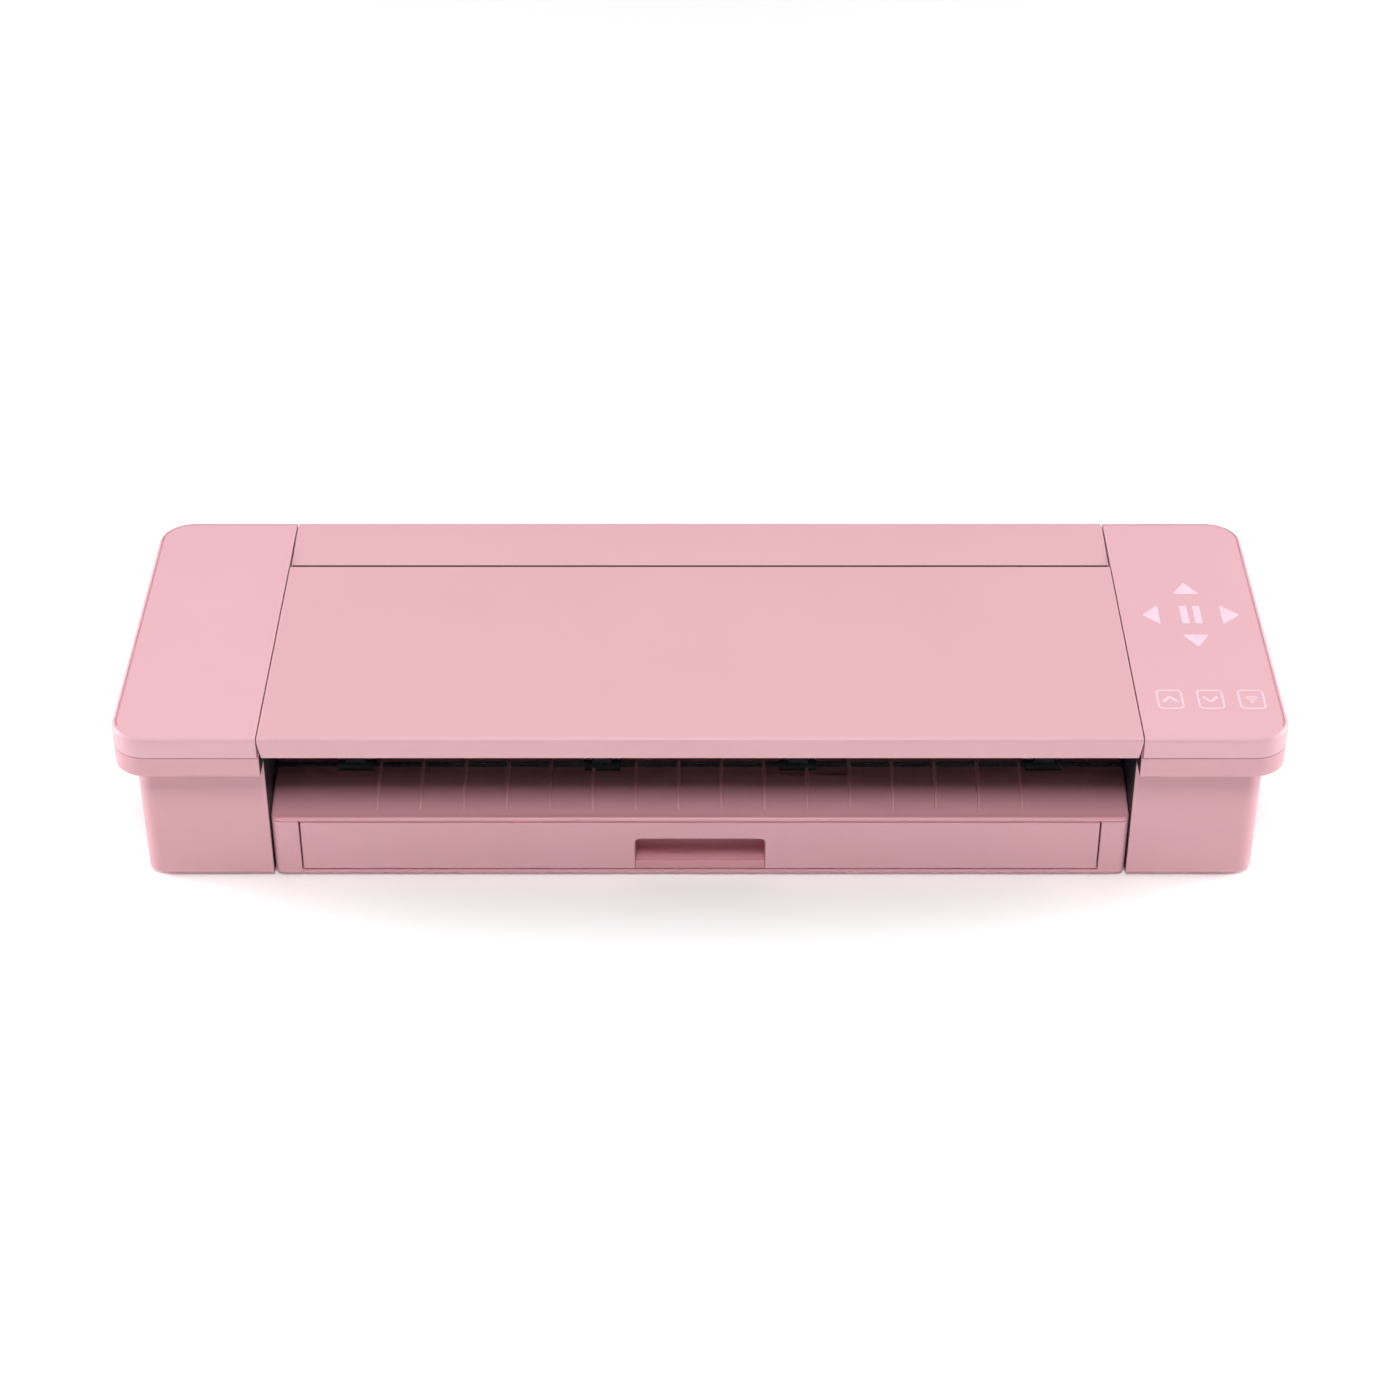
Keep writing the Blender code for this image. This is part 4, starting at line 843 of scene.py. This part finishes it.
# %% Drawer
low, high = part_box("drawer")
PANEL_BACK = BODY_FRONT + 2.8 * MM
TRAY_X, TRAY_TOP = BAY_X - 2.6 * MM, low.z + 21 * MM
TRAY_WALL = 1.8 * MM
drawer = block("drawer_shell", low, (high.x, PANEL_BACK, high.z))
round_over(drawer, lambda a, b: at(BODY_FRONT, a.y, b.y), 0.45 * MM, 3)
tub = block("tub", (-TRAY_X, BODY_FRONT + 1.4 * MM, low.z), (TRAY_X, high.y, TRAY_TOP))
round_over(tub, lambda a, b: at(TRAY_TOP, a.z, b.z), 0.5 * MM, 3)
weld(drawer, tub)
inside = block("inside", (-TRAY_X + TRAY_WALL, PANEL_BACK, low.z + TRAY_WALL),
               (TRAY_X - TRAY_WALL, high.y - TRAY_WALL, high.z + 1 * MM))
round_over(inside, lambda a, b: at(low.z + TRAY_WALL, a.z, b.z) or along("Z", a, b), 2 * MM, 5)
PULL_X, PULL_TOP = 32.5 * MM, low.z + 18.8 * MM
notch = block("notch", (-PULL_X, BODY_FRONT - 1 * MM, low.z - 5 * MM),
              (PULL_X, BODY_FRONT + 3 * MM, PULL_TOP))
round_over(notch, lambda a, b: along("Y", a, b) and at(PULL_TOP, a.z), 3 * MM, 8)
carve(drawer, inside, notch)
round_over(drawer, lambda a, b: at(BODY_FRONT, a.y, b.y) and abs(a.x) < PULL_X + TINY and
           abs(b.x) < PULL_X + TINY and max(a.z, b.z) > low.z + 1 * MM and
           max(a.z, b.z) < PULL_TOP + TINY, 0.5 * MM, 3)
finish_piece(drawer, body_pink_painted_shade, "drawer_body", "pink_shell", "drawer")

# %% [markdown]
# The scoop is a separate moulding behind the notch. A block is hollowed by a pocket whose lower
# rear edge has a wide radius, which makes the hollow that the fingertips follow. A sill in front of
# it slopes down to the drawer's lower edge.

# %% Finger scoop
low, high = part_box("drawer_pull")
base_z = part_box("drawer")[0].z
cup_x = PULL_X - 0.3 * MM
cup_front = BODY_FRONT + 3.1 * MM
cup_floor = base_z + 2.1 * MM
sill_top = cup_floor + 1 * MM
pocket_floor, pocket_back = cup_floor + 0.7 * MM, high.y - 2 * MM
cup = block("drawer_pull_scoop", (low.x, cup_front, cup_floor), high)
round_over(cup, lambda a, b: at(high.y, a.y, b.y), 1.5 * MM, 4)
sill = block("sill", (-cup_x, low.y, low.z), (cup_x, cup_front + 2 * MM, sill_top))
carve(sill, block("under", (-0.04, cup_front - 0.6 * MM, low.z - 1 * MM),
                  (0.04, cup_front + 4 * MM, cup_floor)))
shift(sill, lambda a, b: along("X", a, b) and at(low.y, a.y) and at(sill_top, a.z),
      (0, 0, base_z + 1.3 * MM - sill_top))
weld(cup, sill)
pocket = block("pocket", (-cup_x, cup_front - 1 * MM, pocket_floor),
               (cup_x, pocket_back, PULL_TOP))
round_over(pocket, lambda a, b: along("X", a, b) and at(pocket_floor, a.z) and
           at(pocket_back, a.y), 6 * MM, 12)
round_over(pocket, lambda a, b: along("Y", a, b) and at(PULL_TOP, a.z), 3 * MM, 6)
carve(cup, pocket)
# Its darker pink is painted shade of the hollow.
finish_piece(cup, scoop_pink_painted_shade, "drawer_body", "pink_moulding", "drawer_pull")

# %% [markdown]
# ## Feet
# Four rubber pads keep the machine from creeping. Each is a disc with a soft edge and a shallow
# ring moulded in its sole. The ring is two insets of the sole's face, of which the middle one is
# then pushed back in.

# %% Feet
for end in ("front", "rear"):
    for side in ("left", "right"):
        low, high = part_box(f"foot_{end}_{side}")
        middle = (low + high) / 2
        foot = drum(f"foot_pad_{end}_{side}", "Z", middle, 8 * MM, high.z - low.z)
        round_over(foot, lambda a, b: at(low.z, a.z, b.z) or at(high.z, a.z, b.z), 0.4 * MM, 3)
        pick_faces(foot, lambda centre, normal: normal.z < -0.9 and
                   (centre - middle).xy.length < 1 * MM)
        bpy.ops.mesh.inset(thickness=1.6 * MM)
        bpy.ops.mesh.inset(thickness=1.2 * MM)
        object_mode()
        push(foot, lambda centre, normal: normal.z < -0.9 and
             (centre - middle).xy.length < 1 * MM, (0, 0, 0.4 * MM))
        finish_piece(foot, rubber, "base", "rubber", f"foot_{end}_{side}")

# %% [markdown]
# ## Power button
# The button is a round cap in the side of the right housing, with a dished face and a fine edge.
# Two insets and a small move inwards make the dish, and a wider collar behind keeps it captive.

# %% Power button
button = drum("power_button_cap", "X", (button_high.x - 1 * MM, button_centre.y,
                                        button_centre.z), BUTTON_R, 2 * MM)
round_over(button, lambda a, b: at(button_high.x, a.x, b.x), 0.4 * MM, 4)
pick_faces(button, lambda centre, normal: normal.x > 0.9 and
           (centre - button_centre).yz.length < 1 * MM)
bpy.ops.mesh.inset(thickness=0.9 * MM)
bpy.ops.mesh.inset(thickness=0.5 * MM)
bpy.ops.transform.translate(value=(-0.25 * MM, 0, 0))
object_mode()
collar = drum("collar", "X", ((button_low.x + button_high.x - 2 * MM) / 2 + 0.1 * MM,
                              button_centre.y, button_centre.z), 6.9 * MM,
              button_high.x - 2 * MM - button_low.x, 64)
weld(button, collar)
finish_piece(button, nylon, "button_body", "graphite_plastic", "power_button")

# %% [markdown]
# ## Touch panel marks
# The right cap carries its controls as pale translucent windows set flush in the skin: a pause
# sign between four arrows, and three outlined keys. Each is cut as its own small plate, and the
# same shape a little larger makes its pocket, so nothing stands above the surface.

# %% Mark shapes
MARK_TOP = TOP - 0.03 * MM
MARK_LOW = TOP - 0.5 * MM


def fit(piece, x, y):
    """Scales and moves a flat shape to a rectangle on the cap, at the marks' depth."""
    spots = [vert.co for vert in piece.data.vertices]
    low = [min(spot[axis] for spot in spots) for axis in range(3)]
    high = [max(spot[axis] for spot in spots) for axis in range(3)]
    wanted = (x, y, (MARK_LOW, MARK_TOP))
    piece.scale = [(want[1] - want[0]) / (b - a) for want, a, b in zip(wanted, low, high)]
    piece.location = [want[0] - a * size for want, a, size in zip(wanted, low, piece.scale)]
    make_active(piece)
    bpy.ops.object.transform_apply(location=True, rotation=True, scale=True)
    return piece


def bar(name, x, y, corner=0.6 * MM):
    mark = fit(block(name, (0, 0, 0), (0.01, 0.01, 0.01)), x, y)
    round_over(mark, lambda a, b: along("Z", a, b), corner, 5)
    return mark


def arrow(name, x, y, heading):
    """A triangle with soft corners, its tip towards the heading in degrees."""
    deselect()
    bpy.ops.mesh.primitive_cylinder_add(vertices=3, radius=0.01, depth=0.01,
                                        rotation=(0, 0, math.radians(heading - 90)))
    mark = bpy.context.object
    mark.name = name
    bpy.ops.object.transform_apply(location=True, rotation=True, scale=True)
    fit(mark, x, y)
    round_over(mark, lambda a, b: along("Z", a, b), 1.3 * MM, 6)
    return mark


def outline(name, x, y, corner, stroke):
    mark = bar(name, x, y, corner)
    inner = bar("inner", (x[0] + stroke, x[1] - stroke), (y[0] + stroke, y[1] - stroke),
                corner - stroke)
    make_active(inner)
    inner.scale.z = 3
    inner.location.z = -(MARK_LOW + MARK_TOP)
    bpy.ops.object.transform_apply(location=True, rotation=True, scale=True)
    return carve(mark, inner)


def chevron(name, x, y, up):
    """Two short strokes that meet at a point."""
    span, rise, half = 3.6 * MM, 4.4 * MM, 0.75 * MM
    tip = y + rise / 2 if up else y - rise / 2
    foot = y - rise / 2 if up else y + rise / 2
    strokes = []
    for sign in (-1, 1):
        stroke = bar("stroke", (x - 2.9 * MM, x + 2.9 * MM), (y - half, y + half), 0.5 * MM)
        lean = math.atan2(tip - foot, -sign * span)
        stroke.data.transform(Matrix.Translation((-x, -y, 0)))
        stroke.rotation_euler.z = lean
        stroke.location = (x + sign * span / 2, y, 0)
        make_active(stroke)
        bpy.ops.object.transform_apply(location=True, rotation=True, scale=True)
        strokes.append(stroke)
    strokes[0].name = name
    return weld(strokes[0], strokes[1])


def waves(name, x, y):
    """Three arcs over a dot, the usual sign for a wireless link."""
    parts = []
    foot, middle, thickness = y - 2.4 * MM, (MARK_LOW + MARK_TOP) / 2, MARK_TOP - MARK_LOW
    half_stroke, reach = 0.45, 10 * MM
    for radius in (1.6, 3.1, 4.6):
        ring = drum("ring", "Z", (x, foot, middle), (radius + half_stroke) * MM, thickness, 48)
        carve(ring, drum("core", "Z", (x, foot, MARK_TOP), (radius - half_stroke) * MM,
                         4 * MM, 48))
        wedge = block("wedge", (-reach, -reach, TOP - 3 * MM), (reach, reach, TOP + 3 * MM))
        wedge.rotation_euler.z = math.radians(45)
        wedge.location = (x, foot + reach * math.sqrt(2), 0)
        make_active(wedge)
        bpy.ops.object.transform_apply(location=True, rotation=True, scale=True)
        parts.append(combine(ring, [wedge], "INTERSECT"))
    dot = drum("dot", "Z", (x, foot, middle), 0.75 * MM, thickness, 24)
    mark = join_pieces(parts[0], parts[1:] + [dot])
    mark.name = name
    return mark


# %% [markdown]
# The windows are cast acrylic, a little cloudy, with a weak lamp behind them, so they are pale and
# glow faintly. Each plate is made at its place on the cap, and a copy of it, moved up a little,
# carves its pocket.

# %% Marks
legend, tree, shader, place = new_material("translucent_acrylic_legend")
cloudy = add_node(tree, "ShaderNodeTexNoise", {"Vector": place, "Scale": 1 / (6 * MM)})
tree.links.new(two_tones(tree, cloudy.outputs["Fac"], 0.3, 0.7, "e8cbd9", "eed2e0"),
               shader.inputs["Base Color"])
shader.inputs["Roughness"].default_value = 0.3
shader.inputs["Emission Color"].default_value = linear_colour("f6d8f0")
shader.inputs["Emission Strength"].default_value = 0.05

marks = [
    arrow("mark_up", (242.4 * MM, 255.8 * MM), (28.7 * MM, 39.2 * MM), 90),
    arrow("mark_left", (224.4 * MM, 233.1 * MM), (0.9 * MM, 18.3 * MM), 180),
    arrow("mark_right", (264.7 * MM, 274.0 * MM), (0.9 * MM, 18.3 * MM), 0),
    arrow("mark_down", (242.7 * MM, 256.3 * MM), (-19.2 * MM, -8.3 * MM), 270),
    bar("mark_pause_left", (244.1 * MM, 247.9 * MM), (1.9 * MM, 17.7 * MM)),
    bar("mark_pause_right", (250.8 * MM, 254.5 * MM), (1.9 * MM, 17.7 * MM)),
]
for number, x in enumerate((229.5, 249.4, 269.4)):
    marks.append(outline(f"mark_key_{number + 1}", ((x - 6.45) * MM, (x + 6.45) * MM),
                         (-72.3 * MM, -56.3 * MM), 2.5 * MM, 0.95 * MM))
marks.append(chevron("mark_chevron_up", 229.5 * MM, -64.3 * MM, True))
marks.append(chevron("mark_chevron_down", 249.4 * MM, -64.3 * MM, False))
marks.append(waves("mark_waves", 269.4 * MM, -64.3 * MM))
for mark in marks:
    pocket = copy_piece(mark, "pocket", (0, 0, 0.3 * MM))
    carve(cap_right, pocket)
    finish_piece(mark, legend, "base", "white_acetal")
finish_piece(cap_right, pink_shell, "base", "pink_shell", "end_cap_right")

# %% [markdown]
# ## Working parts
# The parts under the lid are stamped, extruded or turned, and their shapes are right in the frame
# already. What they lack is the small broken edge that any real part has. A copy of each node is
# merged into clean faces, given a fine bevel, and finished in its own material.

# %% Broken edges on the working parts
def refined(node, finish, body, slot, edge_mm=0.3, steps=2):
    """A copy of a node with merged faces and fine rounded edges, which stands for it."""
    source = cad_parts[node]
    piece = bpy.data.objects.new(f"{node}_finished", source.data.copy())
    bpy.context.scene.collection.objects.link(piece)
    make_active(piece)
    bpy.ops.object.mode_set(mode="EDIT")
    bpy.ops.mesh.select_all(action="SELECT")
    bpy.ops.mesh.remove_doubles(threshold=2e-6)
    bpy.ops.mesh.dissolve_limited(angle_limit=math.radians(0.6))
    object_mode()
    bevel = piece.modifiers.new("broken_edge", "BEVEL")
    bevel.width = edge_mm * MM
    bevel.segments = steps
    bevel.limit_method = "ANGLE"
    bevel.angle_limit = math.radians(35)
    bpy.ops.object.modifier_apply(modifier=bevel.name)
    return finish_piece(piece, finish, body, slot, node)


for side in ("left", "right"):
    refined(f"lid_track_{side}", nylon, "base", "graphite_plastic", 0.3)
    refined(f"lid_runner_{side}", nylon, "lid_body", "graphite_plastic", 0.3)
    refined(f"side_plate_{side}", steel, "base", "zinc_steel", 0.2)
    refined(f"drawer_roller_{side}", acetal, f"drawer_wheel_{side}", "white_acetal", 0.25)
for number in range(1, 5):
    refined(f"pinch_arm_{number}", arm_painted_red_bounce, f"arm_body_{number}", "graphite_plastic", 0.4)
    refined(f"pinch_roller_{number}", rubber, f"roller_body_{number}", "rubber", 0.4)
    refined(f"grit_sleeve_{number}", grit, "feed_body", "grit", 0.25)
refined("cutting_strip", silicone, "base", "silicone", 0.2)
refined("feed_shaft", steel, "feed_body", "zinc_steel", 0.3)
refined("feed_gear", acetal, "feed_body", "white_acetal", 0.12)
refined("feed_pinion", steel, "pinion_body", "zinc_steel", 0.12)
refined("pinch_bar", steel, "base", "zinc_steel", 0.4)
refined("carriage_rail", aluminium, "base", "aluminium", 0.3)
refined("carriage", nylon, "carriage_body", "graphite_plastic", 0.5, 3)
refined("cutting_tool", acetal, "cutting_tool_body", "white_acetal", 0.25)
refined("pen_tool", body_pink_painted_shade, "pen_tool_body", "pink_moulding", 0.25)
refined("carriage_belt", rubber, "base", "rubber", 0.15)
refined("drive_pulley", aluminium, "drive_pulley_body", "aluminium", 0.2)
refined("idler_pulley", aluminium, "idler_pulley_body", "aluminium", 0.2)
refined("idler_bracket", steel, "base", "zinc_steel", 0.3)
refined("carriage_motor", steel, "base", "zinc_steel", 0.3)
refined("feed_motor", steel, "base", "zinc_steel", 0.3)
refined("dc_inlet", nylon, "base", "graphite_plastic", 0.25)
refined("usb_socket", brass, "base", "brass", 0.2)
refined("main_board", board_mask, "base", "circuit_board", 0.15)
refined("touch_board", board_mask, "base", "circuit_board", 0.15)

# %% [markdown]
# ## The whole object's size
# The shells must not change the machine's size, so the box from before the modelling and the one
# after it are printed and kept side by side.

# %% Sizes before and after
seen_low, seen_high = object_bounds()
for name, before, after in (("low", cad_low, seen_low), ("high", cad_high, seen_high)):
    print(name, [round(v / MM, 2) for v in before], [round(v / MM, 2) for v in after])
